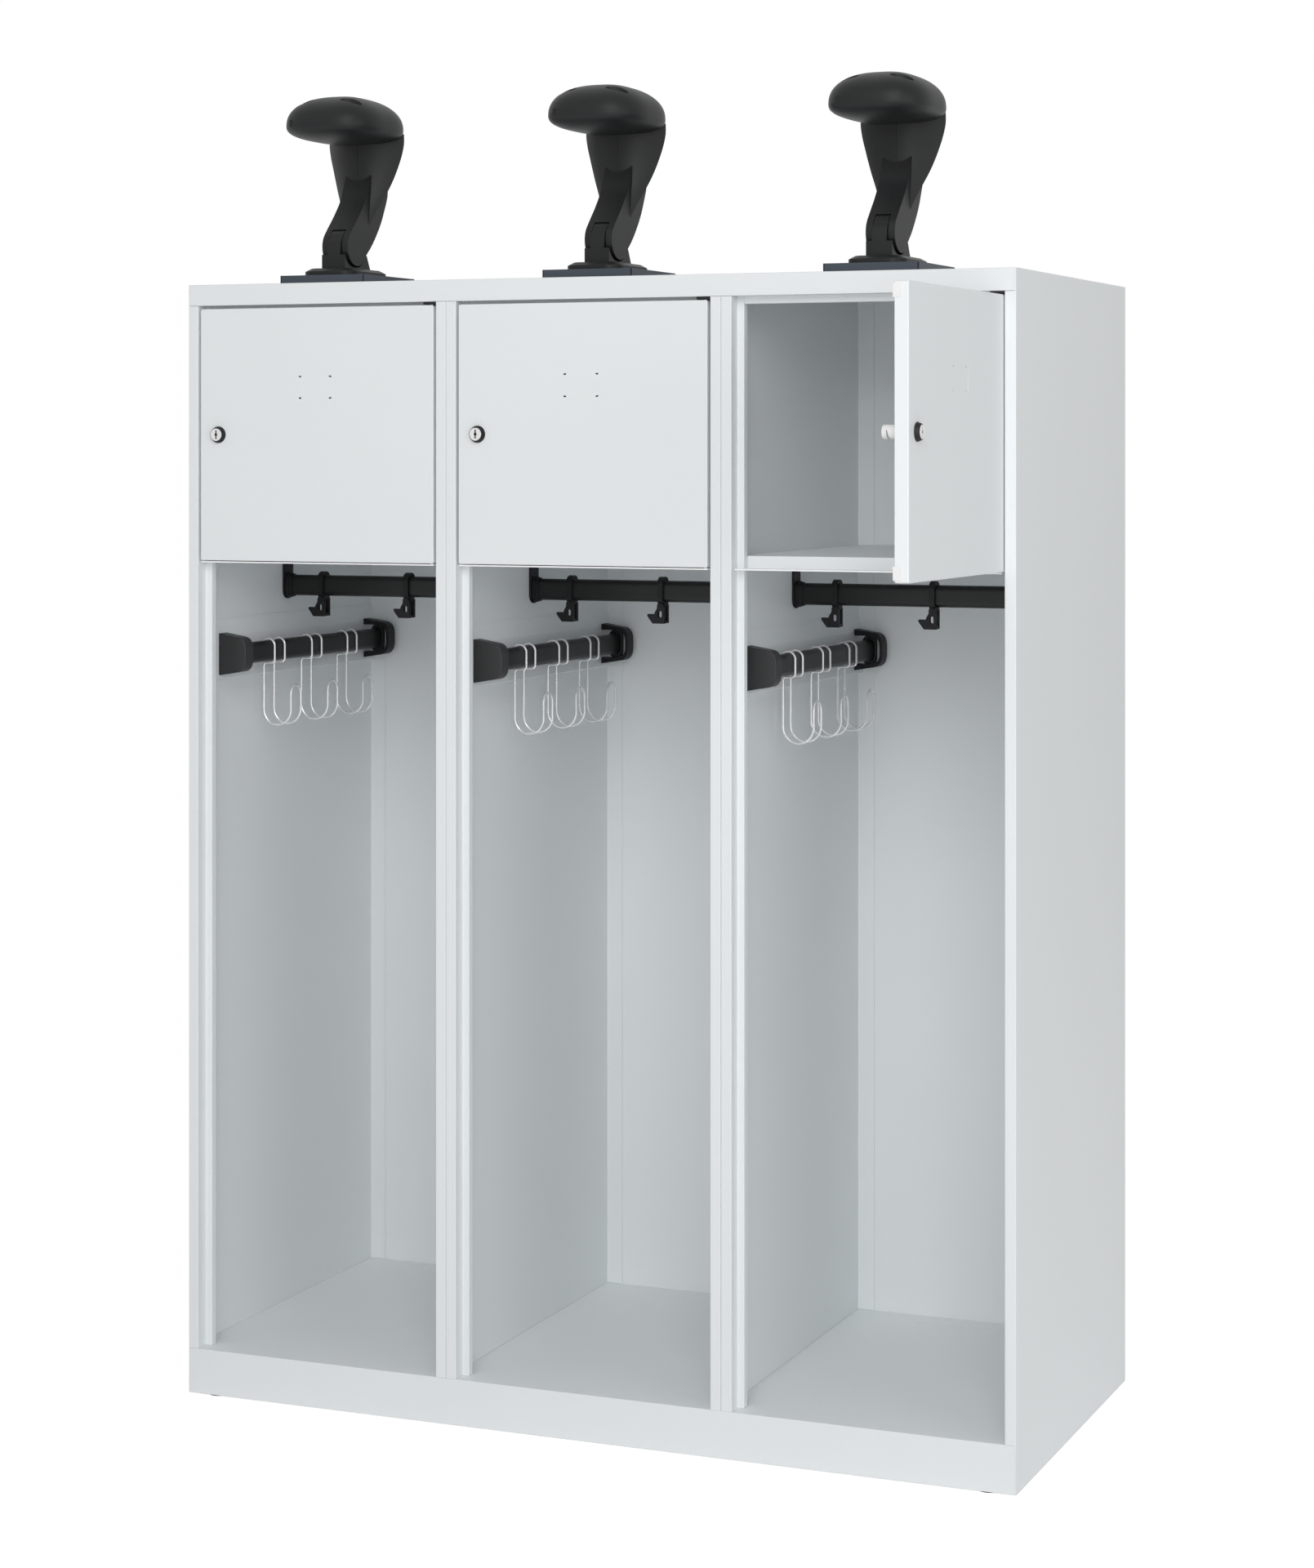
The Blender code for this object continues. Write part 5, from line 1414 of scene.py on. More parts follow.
@dataclass(frozen=True)
class Lock:
    """The barrel through a door with its keyway and the latch plate on its end."""

    door: Door
    keyhole_radius: float = 0.00235
    slot_width: float = 0.0020
    slot_length: float = 0.0120
    slot_depth: float = 0.0028
    keyway_shade_depth: float = 0.0008
    face_groove_radius: float = 0.0068
    end_groove: float = 0.0048
    end_groove_step: float = 0.0004
    notch_width: float = 0.004
    notch_rise: float = 0.011
    notch_from_end: float = 0.0016
    cam_thickness: float = 0.0045
    cam_reach: float = 0.027
    cam_width: float = 0.012
    cam_edge: float = 0.0005
    cam_steps: int = 40
    tongue_steps: int = 16

    @property
    def bay(self) -> Bay:
        """The compartment of the lock's door."""
        return self.door.bay

    @made_once
    def barrel(self) -> Mesh:
        """The barrel with its keyway, the ring groove on its face and the notch near its inner end."""
        door = self.door
        x, z = door.lock_place
        radius = door.lock_radius
        proud = door.lock_proud
        end = -door.thickness - door.lock_behind
        step = GAP / 2
        groove = self.face_groove_radius
        cut, rise = end + self.end_groove, self.end_groove_step
        profile = [
            (0, proud), (groove - step, proud), (groove, proud - step), (groove + step, proud),
            (radius - 2 * step, proud), (radius, proud - 2 * step), (radius, cut + 3 * rise),
            (radius - GAP, cut + 2 * rise), (radius - GAP, cut + rise), (radius, cut),
            (radius, end), (0, end),
        ]
        work = Workpiece(turned(profile, (x, Places.front_y, z), Axis.Y, door.ring_steps))
        return work.join(self.cam()).cut(*self.keyway(0.0, 0.0), self.notch()).mesh()

    def keyway(self, inset: float, sunk: float) -> tuple[Mesh, Mesh]:
        """Makes the slot and the round hole for the key, or the black body of painted shade inside them.

        Args:
            inset: how far in from the edge it is.
            sunk: how far it starts behind the face.

        Returns:
            The slot and the hole.
        """
        door = self.door
        x, z = door.lock_place
        front = Places.front_y - door.lock_proud
        low = front + sunk if sunk else front - OVERRUN
        half = self.slot_width / 2 - inset
        length = self.slot_length / 2 - inset
        outline = rounded_rectangle((x, z), 2 * half, 2 * length, half / 2)
        slot = prism([outline], Axis.Y, low, front + self.slot_depth)
        hole = cylinder((x, z), self.keyhole_radius - inset, Axis.Y, low, front + self.slot_depth)
        return slot, hole

    def notch(self) -> Mesh:
        """The tapered notch cut up into the barrel near its inner end."""
        door = self.door
        x, z = door.lock_place
        end = door.rear_y + door.lock_behind - self.notch_from_end
        low = z - door.lock_radius - OVERRUN
        tip = z - door.lock_radius + self.notch_rise
        outline = [
            (end, low), (end, tip), (end - self.notch_width / 4, tip),
            (end - self.notch_width, low),
        ]
        return prism([outline], Axis.X, x - 2 * door.lock_radius, x + 2 * door.lock_radius)

    def cam(self) -> Mesh:
        """The latch plate, its tongue turned to the hinge side."""
        door = self.door
        x, z = door.lock_place
        half = self.cam_width / 2
        open_deg = math.degrees(math.asin(half / door.lock_radius))
        outline = arc((x, z), door.lock_radius, open_deg, 360 - open_deg, self.cam_steps)
        outline += arc((x + self.cam_reach - half, z), half, -90, 90, self.tongue_steps)
        end = door.rear_y + door.lock_behind
        work = Workpiece(prism([outline], Axis.Y, end - HALF_SHEET, end + self.cam_thickness))
        return work.soften(self.cam_edge).mesh()

    @made_once
    def keyway_shade(self) -> Mesh:
        """A black body of painted shade inside the keyway, behind its mouth."""
        slot, hole = self.keyway(HAIR, self.keyway_shade_depth)
        return Workpiece(slot).join(hole).mesh()

    def build(self) -> None:
        """Makes the barrel and the black body of painted shade in its keyway."""
        bay = self.bay
        body = f"lock_{bay.number}"
        barrel, keyway_shade = self.barrel(), self.keyway_shade()
        barrel.transform(bay.door_turn)
        keyway_shade.transform(bay.door_turn)
        add_piece(f"lock_body_{bay.number}", barrel, WHITE_PLASTIC, body, [f"lock_barrel_{bay.number}"])
        # Painted shade: black plastic set inside the shallow keyway to darken it.
        add_piece(f"keyway_{bay.number}", keyway_shade, BLACK_PLASTIC, body)


# Rails and hooks


@dataclass(frozen=True)
class OvalTube:
    """The oval wardrobe tube that both rails are cut from."""

    width: float = 0.015
    height: float = 0.030
    wall: float = 0.0015

    def mesh(self, centre: Point, axis: Axis, low: float, high: float) -> Mesh:
        """Makes a length of tube.

        Args:
            centre: the middle of its section.
            axis: the axis that it runs along.
            low: where it starts.
            high: where it ends.

        Returns:
            The mesh.
        """
        outer = stadium(centre, self.width, self.height)
        inner = stadium(centre, self.width - 2 * self.wall, self.height - 2 * self.wall)
        return Workpiece(prism([outer, inner], axis, low, high)).mesh()


TUBE = OvalTube()


@dataclass(frozen=True)
class CoatRail:
    """The rail across a compartment, hung from the shelf's ends, with two clip hooks."""

    bay: Bay
    below_shelf: float = 0.0596
    strap_thickness: float = 0.003
    strap_width: float = 0.025
    strap_below_rail: float = 0.0199
    cup_length: float = 0.010
    cup_wall: float = 0.003
    cup_step: float = 0.55
    cup_edge: float = 0.0005
    strap_edge: float = 0.0006
    strap_steps: int = 24
    hook_places: tuple[tuple[str, float], ...] = (("a", -0.1369), ("b", 0.0031))

    @property
    def centre(self) -> Point:
        """The tube's centre in depth and height."""
        low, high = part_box(f"coat_rail_{self.bay.number}")
        return (low.y + high.y) / 2, Places.shelf_z - self.below_shelf

    @made_once
    def strap(self, side: int) -> Mesh:
        """Makes the strap down a wall that carries an end of the rail.

        Args:
            side: -1 for the left end, 1 for the right one.

        Returns:
            The mesh.
        """
        y, z = self.centre
        wall = self.bay.middle + side * (CARCASS.wall_inner - GAP)
        inner = wall - side * self.strap_thickness
        radius = self.strap_width / 2
        outline = arc((y, z - self.strap_below_rail + radius), radius, 180, 360, self.strap_steps)
        top = Places.shelf_z - SHEET - GAP
        outline += [(y + radius, top), (y - radius, top)]
        work = Workpiece(prism([outline], Axis.X, min(wall, inner), max(wall, inner)))
        return work.soften(self.strap_edge).mesh()

    @made_once
    def cup(self, side: int) -> Mesh:
        """Makes the stepped cup round an end of the tube.

        Args:
            side: -1 for the left end, 1 for the right one.

        Returns:
            The mesh.
        """
        root = self.bay.middle + side * (CARCASS.wall_inner - GAP - self.strap_thickness)
        mouth = root - side * self.cup_length
        step = root - side * self.cup_length * self.cup_step
        slim = self.cup_wall * self.cup_step
        bore = stadium(self.centre, TUBE.width + 2 * HAIR, TUBE.height + 2 * HAIR)
        bodies = []
        for wall, end in ((self.cup_wall, step), (slim, mouth)):
            outer = stadium(self.centre, TUBE.width + 2 * wall, TUBE.height + 2 * wall)
            bodies.append(prism([outer, bore], Axis.X, min(root, end), max(root, end)))
        return Workpiece(bodies[0]).join(bodies[1]).flatten().soften(self.cup_edge).mesh()

    def build(self) -> None:
        """Makes the tube, its hangers and its hooks."""
        bay = self.bay
        half = CARCASS.wall_inner - GAP - self.strap_thickness
        tube = TUBE.mesh(self.centre, Axis.X, bay.middle - half, bay.middle + half)
        add_piece(f"coat_tube_{bay.number}", tube, BLACK_TUBE, "carcass", [f"coat_rail_{bay.number}"])
        for side, word in ((-1, "left"), (1, "right")):
            add_piece(f"rail_strap_{word}_{bay.number}", self.strap(side), BLACK_PLASTIC, "carcass")
            add_piece(f"rail_cup_{word}_{bay.number}", self.cup(side), BLACK_PLASTIC, "carcass")
        for letter, place in self.hook_places:
            ClipHook(bay, letter, (bay.middle + place, *self.centre)).build()


@dataclass(frozen=True)
class ClipHook:
    """A moulded hook whose band slides on the coat rail, with a prong, an eye and a toothed strap."""

    bay: Bay
    letter: str
    centre: tuple[float, float, float]
    width: float = 0.0082
    band_side: float = 0.0037
    band_end: float = 0.0052
    drop: float = 0.0444
    eye_drop: float = 0.0315
    eye_width: float = 0.0060
    eye_height: float = 0.0100
    reach: float = 0.0192
    prong_depth: float = 0.006
    set_in: float = 0.0001
    strap_thickness: float = 0.0045
    bridge_height: float = 0.0035
    edge: float = 0.0007
    tooth_count: int = 7
    tooth_size: float = 0.0011
    outline_shares: tuple[Point, ...] = (
        (0.210, 0.360), (0.310, 0.440), (0.333, 0.540), (0.333, 0.970), (0.333, 1.000),
        (0.300, 1.000), (-0.540, 1.000), (-0.578, 1.000), (-0.620, 0.975), (-0.945, 0.795),
        (-0.972, 0.775), (-1.000, 0.735), (-0.970, 0.703), (-0.940, 0.703), (-0.550, 0.703),
        (-0.510, 0.710), (-0.480, 0.745), (-0.435, 0.715), (-0.410, 0.655), (-0.340, 0.600),
        (-0.240, 0.540), (-0.220, 0.490), (-0.210, 0.360),
    )

    def band(self) -> Mesh:
        """The band round the tube."""
        x, y, z = self.centre
        width, height = TUBE.width + 2 * GAP, TUBE.height + 2 * GAP
        outer = stadium((y, z), width + 2 * self.band_side, height + 2 * self.band_end)
        inner = stadium((y, z), width, height)
        return prism([outer, inner], Axis.X, x - self.width / 2, x + self.width / 2)

    @property
    def rear(self) -> float:
        """The back of the band and the strap."""
        return self.centre[1] + TUBE.width / 2 + GAP + self.band_side

    @property
    def strap_top(self) -> float:
        """Where the strap runs into the band."""
        return self.centre[2] - TUBE.height / 2 - GAP - self.band_end / 2

    @made_once
    def teeth(self) -> Mesh:
        """The row of teeth down the strap."""
        rear = self.rear - self.strap_thickness + self.tooth_size / 2
        low, high = self.centre[2] - self.drop + self.bridge_height, self.strap_top
        tree = bpy_trees.setdefault("tooth_row", row_tree("tooth_row", True))
        pitch = (high - low) / self.tooth_count
        row = tree.baked(
            Count=self.tooth_count,
            Start=(self.centre[0], rear, low + pitch / 2),
            Step=(0.0, 0.0, pitch),
            Width=self.width - 4 * GAP,
            Depth=self.tooth_size,
            Height=self.tooth_size,
            Corner=self.tooth_size / 4,
            Material=BLACK_PLASTIC.material(),
        )
        return Workpiece(row).mesh()

    @made_once
    def moulding(self) -> Mesh:
        """Band, prong, strap and the bridge between them in one."""
        x, y, z = self.centre
        front, rear = y - TUBE.width / 2 - GAP - self.band_side, self.rear
        outline = [(x + across * self.reach, z - down * self.drop) for across, down in self.outline_shares]
        eye = stadium((x, z - self.eye_drop), self.eye_width, self.eye_height)
        face = front + self.set_in
        back = rear - self.set_in
        prong = prism([rounded_off(outline), eye], Axis.Y, face, front + self.prong_depth)
        low = z - self.drop
        half = self.width / 2 - GAP
        strap = block((x - half, rear - self.strap_thickness, low), (x + half, back, self.strap_top))
        bridge = block(
            (x - half, front + self.prong_depth / 2, low),
            (x + half, rear - HALF_SHEET, low + self.bridge_height),
        )
        return Workpiece(self.band()).join(prong, strap, bridge).flatten().soften(self.edge, 3).mesh()

    def build(self) -> None:
        """Adds the moulding and its teeth."""
        node = f"clip_hook_{self.bay.number}{self.letter}"
        add_piece(f"{node}_body", self.moulding(), BLACK_PLASTIC, node, [node])
        add_piece(f"{node}_teeth", self.teeth(), BLACK_PLASTIC, node)


@dataclass(frozen=True)
class SideRail:
    """The rail along the left wall with its backing strip, two brackets and three wire hooks."""

    bay: Bay
    strip_proud: float = 0.007
    strip_low: float = 0.9805
    strip_flat: float = 0.0605
    strip_slope: float = 0.0215
    strip_bend: float = 0.0020
    bracket_height: float = 0.0590
    bracket_reach: float = 0.0432
    bracket_arm: float = 0.0091
    bracket_side: float = 0.0045
    bracket_face: float = 0.003
    bracket_exponent: float = 4.0
    socket_width: float = 0.0216
    socket_length: float = 0.006
    socket_set_back: float = 0.002
    face_bulge: float = 0.0012
    opening_steps: int = 40
    rim_steps: int = 4
    edge: float = 0.0007
    edge_deg: float = 50.0
    bulge_shares: tuple[float, ...] = (0.0, 0.06, 0.16, 0.32, 0.55, 1.0)
    rim_shares: tuple[Point, ...] = (
        (0.640, 0.847), (0.694, 0.834), (0.787, 0.800), (0.868, 0.732), (0.931, 0.624),
        (0.972, 0.488), (0.995, 0.322), (1.000, 0.170),
    )

    @property
    def centre(self) -> Point:
        """The tube's centre across and in height."""
        low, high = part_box(f"side_rail_{self.bay.number}")
        return (low.x + high.x) / 2, (low.z + high.z) / 2

    def strip(self) -> None:
        """Makes the pressed strip behind the rail."""
        bay = self.bay
        low = Places.base_z + self.strip_low
        flat_top = low + self.strip_flat
        wall = bay.middle - CARCASS.wall_inner
        face = wall + self.strip_proud - HALF_SHEET
        line = [
            (wall, low + HALF_SHEET), (face, low + HALF_SHEET), (face, flat_top),
            (wall + HALF_SHEET, flat_top + self.strip_slope),
            (wall + HALF_SHEET, flat_top + self.strip_slope + self.strip_proud / 2),
        ]
        front = Places.front_y + CARCASS.frame_return + CARCASS.stop_return + SHEET
        sheet = FoldedSheet(line, Axis.Y, [front, Places.flange_y - SHEET], radius=self.strip_bend)
        mesh = Workpiece(sheet.mesh()).thicken(SHEET).mesh()
        add_piece(f"backing_strip_{bay.number}", mesh, POWDER_COAT, "carcass")

    @property
    def left(self) -> float:
        """Where the brackets start from the strip."""
        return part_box(f"side_rail_front_bracket_{self.bay.number}")[0].x

    def rim(self, inset: float = 0.0) -> Ring:
        """Draws a bracket's side view, its arms tapering from the wall to a rounded side.

        Args:
            inset: how far in it is drawn.

        Returns:
            The points round it.
        """
        reach = self.bracket_reach - inset
        half = self.bracket_height / 2 - inset
        left, z = self.left, self.centre[1]
        upper = [(left + across * reach, z + up * half) for across, up in self.rim_shares]
        lower = [(x, 2 * z - up) for x, up in upper]
        return [(left, z - half), *flowing(lower + upper[::-1], self.rim_steps), (left, z + half)]

    def opening(self, start: float) -> Ring:
        """The space between a bracket's arms, half a rounded rectangle.

        Args:
            start: how far it starts from the wall side.

        Returns:
            The points round it.
        """
        reach = self.bracket_reach - self.bracket_side
        half = self.bracket_height / 2 - self.bracket_arm
        power = 2 / self.bracket_exponent
        left, z = self.left, self.centre[1]
        points = [(left + start, z - half)]
        for step in range(1, self.opening_steps):
            turn = math.pi * (step / self.opening_steps - 0.5)
            across = reach * math.cos(turn) ** power
            up = math.copysign(half * abs(math.sin(turn)) ** power, turn)
            if across > start:
                points.append((left + across, z + up))
        points.append((left + start, z + half))
        return points

    @made_once
    def front_bracket(self) -> Mesh:
        """The closed bracket, its face gently crowned."""
        low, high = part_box(f"side_rail_front_bracket_{self.bay.number}")
        rings = []
        for share in self.bulge_shares:
            inset = self.face_bulge * (1 - math.sqrt(1 - (1 - share) ** 2))
            rings.append([(x, low.y + share * self.face_bulge, z) for x, z in self.rim(inset)])
        rings.append([(x, high.y, z) for x, z in self.rim()])
        work = Workpiece(lofted(rings))
        inner = self.opening(-OVERRUN)
        height = self.bracket_height - 2 * self.bracket_arm - 2 * SHEET
        boss = stadium(self.centre, self.socket_width, height)
        start = low.y + self.bracket_face
        work.cut(prism([inner, boss], Axis.Y, start, high.y + OVERRUN))
        work.cut(self.bore(start, high.y + OVERRUN))
        return work.flatten().soften(self.edge, 2, self.edge_deg).mesh()

    def bore(self, low: float, high: float) -> Mesh:
        """The room for the tube in a bracket."""
        return prism([stadium(self.centre, TUBE.width + 2 * GAP, TUBE.height + 2 * GAP)], Axis.Y, low, high)

    @made_once
    def rear_bracket(self) -> Mesh:
        """The open bracket with the tube's socket held between its arms."""
        low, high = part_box(f"side_rail_rear_bracket_{self.bay.number}")
        outline = self.rim() + self.opening(0.0)[::-1]
        work = Workpiece(prism([outline], Axis.Y, low.y, high.y))
        start = low.y + self.socket_set_back
        end = start + self.socket_length
        height = self.bracket_height - 2 * self.bracket_arm + 2 * SHEET
        work.join(prism([stadium(self.centre, self.socket_width, height)], Axis.Y, start, end))
        work.cut(self.bore(start - OVERRUN, end - self.bracket_face))
        return work.flatten().soften(self.edge, 2, self.edge_deg).mesh()

    def build(self) -> None:
        """Makes the strip, the tube, the brackets and the wire hooks."""
        number = self.bay.number
        self.strip()
        low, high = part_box(f"side_rail_{number}")
        tube = TUBE.mesh(self.centre, Axis.Y, low.y, high.y)
        add_piece(f"side_tube_{number}", tube, BLACK_TUBE, "carcass", [f"side_rail_{number}"])
        for place, mesh in (("front", self.front_bracket()), ("rear", self.rear_bracket())):
            node = f"side_rail_{place}_bracket_{number}"
            # The front bracket gets the lighter copy of the plastic: painted light.
            finish = PAINTED_LIGHT_BRACKET_PLASTIC if place == "front" else BLACK_PLASTIC
            add_piece(f"{place}_bracket_body_{number}", mesh, finish, "carcass", [node])
        for letter in "abc":
            WireHook(self.bay, letter, self.centre).build()


@dataclass(frozen=True)
class WireHook:
    """A double hook of plated wire that slides on the side rail."""

    bay: Bay
    letter: str
    rail: Point
    radius: float = 0.0015
    spacing: float = 0.027
    side_gap: float = 0.0010
    under_drop: float = 0.0172
    bend: float = 0.0050
    top_bend: float = 0.0100
    back_length: float = 0.022
    drop: float = 0.1055
    hook_width: float = 0.044
    tip_height: float = 0.0425
    bend_steps: int = 8

    def half(self, side: int) -> list[Place]:
        """Draws one of the two wires, from behind the rail, over and under it, then down and round.

        Args:
            side: -1 for the front wire, 1 for the rear one.

        Returns:
            The points along it.
        """
        x, z = self.rail
        low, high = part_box(f"wire_hook_{self.bay.number}{self.letter}")
        middle_y = (low.y + high.y) / 2
        rail_side = TUBE.width / 2 + self.side_gap + self.radius
        top = z + TUBE.height / 2 + GAP + self.radius
        under = z - self.under_drop
        leg = x - TUBE.width / 2
        bend, steps = self.bend, self.bend_steps
        flat = [(x - rail_side, top - self.back_length)]
        flat += arc((x, top - self.top_bend), self.top_bend, 180, 0, 2 * steps)
        flat += arc((x + rail_side - bend, under + bend), bend, 0, -90, steps)
        flat += arc((leg + bend, under - bend), bend, 90, 180, steps)
        half = self.hook_width / 2
        flat += arc((leg + half, z - self.drop + half), half, 180, 360, 4 * steps)
        return [(across, middle_y + side * self.spacing / 2, up) for across, up in flat]

    def build(self) -> None:
        """Makes the wire from one end to the other, with the arc that joins the tips."""
        first, last = self.half(-1), self.half(1)
        tip_x = first[-1][0]
        middle_y = (first[-1][1] + last[-1][1]) / 2
        rise = self.rail[1] - self.drop + self.tip_height
        half = self.spacing / 2
        cross = [(tip_x, y, z) for y, z in arc((middle_y, rise), half, 180, 0, 3 * self.bend_steps)]
        mesh = wire(first + cross + list(reversed(last)), self.radius)
        node = f"wire_hook_{self.bay.number}{self.letter}"
        add_piece(f"{node}_wire", Workpiece(mesh).mesh(), CHROME_WIRE, node, [node])


# Helmet holders


@dataclass(frozen=True)
class HelmetHolder:
    """A holder on the top: its plate, foot with a centre lug, folding stem and head."""

    bay: Bay
    flange_width: float = 0.080
    flange_depth: float = 0.110
    flange_corner: float = 0.020
    flange_height: float = 0.010
    chamfer_rise: float = 0.0045
    chamfer_width: float = 0.009
    flange_centre_depth: float = 0.082
    flange_edge: float = 0.0004
    flange_corner_steps: int = 12
    shoulder_rings: tuple[Point, ...] = ((-0.0006, 0.0), (0.0, 0.0002), (0.0004, 0.0009))
    rim_rings: tuple[Point, ...] = ((-0.0005, -0.0010), (-0.0001, -0.0001), (0.0, 0.0009))
    block_width: float = 0.036
    block_front_depth: float = 0.0485
    block_height: float = 0.0205
    block_foot_length: float = 0.0695
    block_shoulder_length: float = 0.0595
    lug_width: float = 0.020
    lug_radius: float = 0.0267
    ear_front_room: float = 0.0277
    ear_front_shift: float = 0.005
    stem_width: float = 0.040
    slot_gap: float = 0.0008
    slot_room: float = 0.0015
    pin_radius: float = 0.004
    pin_length: float = 0.034
    stem_rise: float = 0.154
    funnel_height: float = 0.121
    funnel_half_width: float = 0.060
    funnel_tip_set_back: float = 0.0318
    funnel_ridge_run: float = 0.0285
    funnel_front_bulge: float = 0.0275
    funnel_rear_bulge: float = 0.0210
    funnel_tip_bulge: float = 0.37
    funnel_steps: int = 18
    funnel_rows: int = 3
    seam_width: float = 0.0004
    seam_low: float = 0.103
    seam_set_back: float = 0.0354
    head_half_width: float = 0.0692
    head_half_length: float = 0.0775
    head_centre_depth: float = 0.0805
    head_rise: float = 0.165
    head_crown: float = 0.0434
    head_underside: float = 0.0204
    plan_exponent: float = 3.1
    crown_exponent: float = 2.26
    underside_exponent: float = 2.5
    head_segments: int = 96
    head_rings: int = 64
    scoop_length: float = 0.031
    scoop_width: float = 0.0135
    scoop_spacing_x: float = 0.0738
    scoop_spacing_y: float = 0.0936
    scoop_floor: float = 0.022
    scoop_flare: float = 0.0012
    scoop_turn_deg: float = 10.0
    scoop_steps: int = 40
    scoop_shares: Point = (0.72, 0.84)
    hole_radius: float = 0.005
    hole_offset: float = 0.0436
    hole_rise: float = 0.0025
    hole_depth: float = 0.0085
    plate_corner: float = 0.0012
    plate_edge: float = 0.0003
    slit_width: float = 0.0018
    slit_depth: float = 0.020
    slit_skin: float = 0.0004
    slit_shade_set_back: float = 0.0004
    ear_lift: Point = (-0.0004, 0.0006)
    ear_radius: float = 0.0259
    ear_room_radius: float = 0.0275
    ear_deg: Point = (-24, -221)
    ear_steps: int = 60
    arm_steps: int = 6
    lug_foot_share: Point = (0.6, -1.2)
    lug_back_deg: Point = (150, -10)
    lug_steps: int = 40
    lug_front_steps: int = 5
    arm_front_shares: tuple[Point, ...] = (
        (-0.087, 0.163), (-0.037, 0.217), (0.045, 0.308), (0.140, 0.432), (0.195, 0.550),
        (0.258, 0.690), (0.344, 0.805),
    )
    arm_back_shares: tuple[Point, ...] = (
        (0.420, 0.805), (0.500, 0.715), (0.540, 0.620), (0.545, 0.535), (0.530, 0.468),
        (0.478, 0.355), (0.427, 0.256), (0.363, 0.162), (0.287, 0.067), (0.224, 0.000),
    )
    lug_front_shares: tuple[Point, ...] = (
        (-1.138, -1.200), (-1.138, -0.386), (-1.110, -0.200), (-1.070, 0.000), (-1.007, 0.273),
        (-0.891, 0.454),
    )
    funnel_shares: tuple[tuple[float, float, float], ...] = (
        (0.000, 0.333, 0.000), (0.152, 0.445, 0.242), (0.284, 0.560, 0.456), (0.417, 0.678, 0.646),
        (0.549, 0.778, 0.789), (0.681, 0.865, 0.888), (0.813, 0.942, 0.947), (0.945, 0.990, 0.986),
        (1.060, 0.985, 1.000),
    )

    @property
    def pivot(self) -> Vector:
        """The pivot that the stem folds on, from the frame's joint."""
        _, y, z = joint_place(f"helmet_holder_{self.bay.number}_fold")
        return Vector((self.bay.middle, y, z))

    @property
    def flange_z(self) -> float:
        """The underside of the foot."""
        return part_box(f"helmet_foot_{self.bay.number}")[0].z

    @made_once
    def plate(self) -> Mesh:
        """The plate under the foot, its edges softened."""
        low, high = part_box(f"helmet_plate_{self.bay.number}")
        centre = ((low.x + high.x) / 2, (low.y + high.y) / 2)
        size = high - low
        outline = rounded_rectangle(centre, size.x, size.y, self.plate_corner, CORNER_FACETS)
        work = Workpiece(prism([outline], Axis.Z, low.z, high.z))
        work.cut(*(self.slit(side, -OVERRUN, 0.0) for side in (-1, 1)))
        return work.soften(self.plate_edge).mesh()

    def slit(self, side: int, front: float, inset: float) -> Mesh:
        """The narrow upright slot beside a front corner of the plate, or the black block of painted shade
        that fills it.

        Args:
            side: -1 for the left corner, 1 for the right one.
            front: where it starts, from the front of the plate.
            inset: how much smaller than the slot it is on each side.

        Returns:
            A block.
        """
        low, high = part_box(f"helmet_plate_{self.bay.number}")
        edge = low.x + self.slit_skin if side < 0 else high.x - self.slit_skin - self.slit_width
        far_x, far_y = edge + self.slit_width, low.y + self.slit_depth
        near = (edge + inset, low.y + front, low.z - OVERRUN if inset == 0 else low.z)
        return block(near, (far_x - inset, far_y - inset, high.z - self.slit_skin - inset))

    def flange(self) -> Mesh:
        """The round-cornered foot plate, chamfered round its top."""
        centre = (self.bay.middle, Places.front_y + self.flange_centre_depth)
        top, edge = self.flange_height, self.flange_edge
        foot = top - self.chamfer_rise
        steps = [(0.0, edge), (edge, 0.0)]
        steps += [(foot + up, inset) for up, inset in self.shoulder_rings]
        steps += [(top + up, self.chamfer_width + inset) for up, inset in self.rim_rings]
        rings = []
        for height, inset in steps:
            width, depth = self.flange_width - 2 * inset, self.flange_depth - 2 * inset
            corner = self.flange_corner - inset
            outline = rounded_rectangle(centre, width, depth, corner, self.flange_corner_steps)
            rings.append([(x, y, self.flange_z + height) for x, y in outline])
        return lofted(rings)

    @made_once
    def foot(self) -> Mesh:
        """Flange, block and centre lug with the pin, joined."""
        middle, pivot_y, pivot_z = self.pivot
        front = Places.front_y + self.block_front_depth
        root = self.flange_z + self.flange_height
        shoulder = root + self.block_height
        outline = [
            (front, root - self.chamfer_rise / 2),
            (front + self.block_foot_length, root - self.chamfer_rise / 2),
            (front + self.block_foot_length, root), (front + self.block_shoulder_length, shoulder),
            (front, shoulder),
        ]
        half = self.block_width / 2
        work = Workpiece(self.flange()).join(prism([outline], Axis.X, middle - half, middle + half))
        lug_half = self.lug_width / 2
        for side in (-1, 1):
            near = middle + side * (lug_half - GAP)
            far = middle + side * (self.stem_width / 2 + OVERRUN)
            work.cut(prism([self.ear_room()], Axis.X, min(near, far), max(near, far)))
        work.join(prism([self.lug()], Axis.X, middle - lug_half, middle + lug_half))
        pin_half = self.pin_length / 2
        pin = cylinder((pivot_y, pivot_z), self.pin_radius, Axis.X, middle - pin_half, middle + pin_half)
        return work.join(pin).mesh()

    def ear_room(self) -> Ring:
        """The side view of the space that an ear of the stem turns in, wider in front."""
        _, pivot_y, pivot_z = self.pivot
        outline = arc((pivot_y, pivot_z), self.ear_room_radius, -90, 90, ROUND_STEPS)
        front = (pivot_y - self.ear_front_shift, pivot_z)
        return outline + arc(front, self.ear_front_room, 90, 270, ROUND_STEPS)

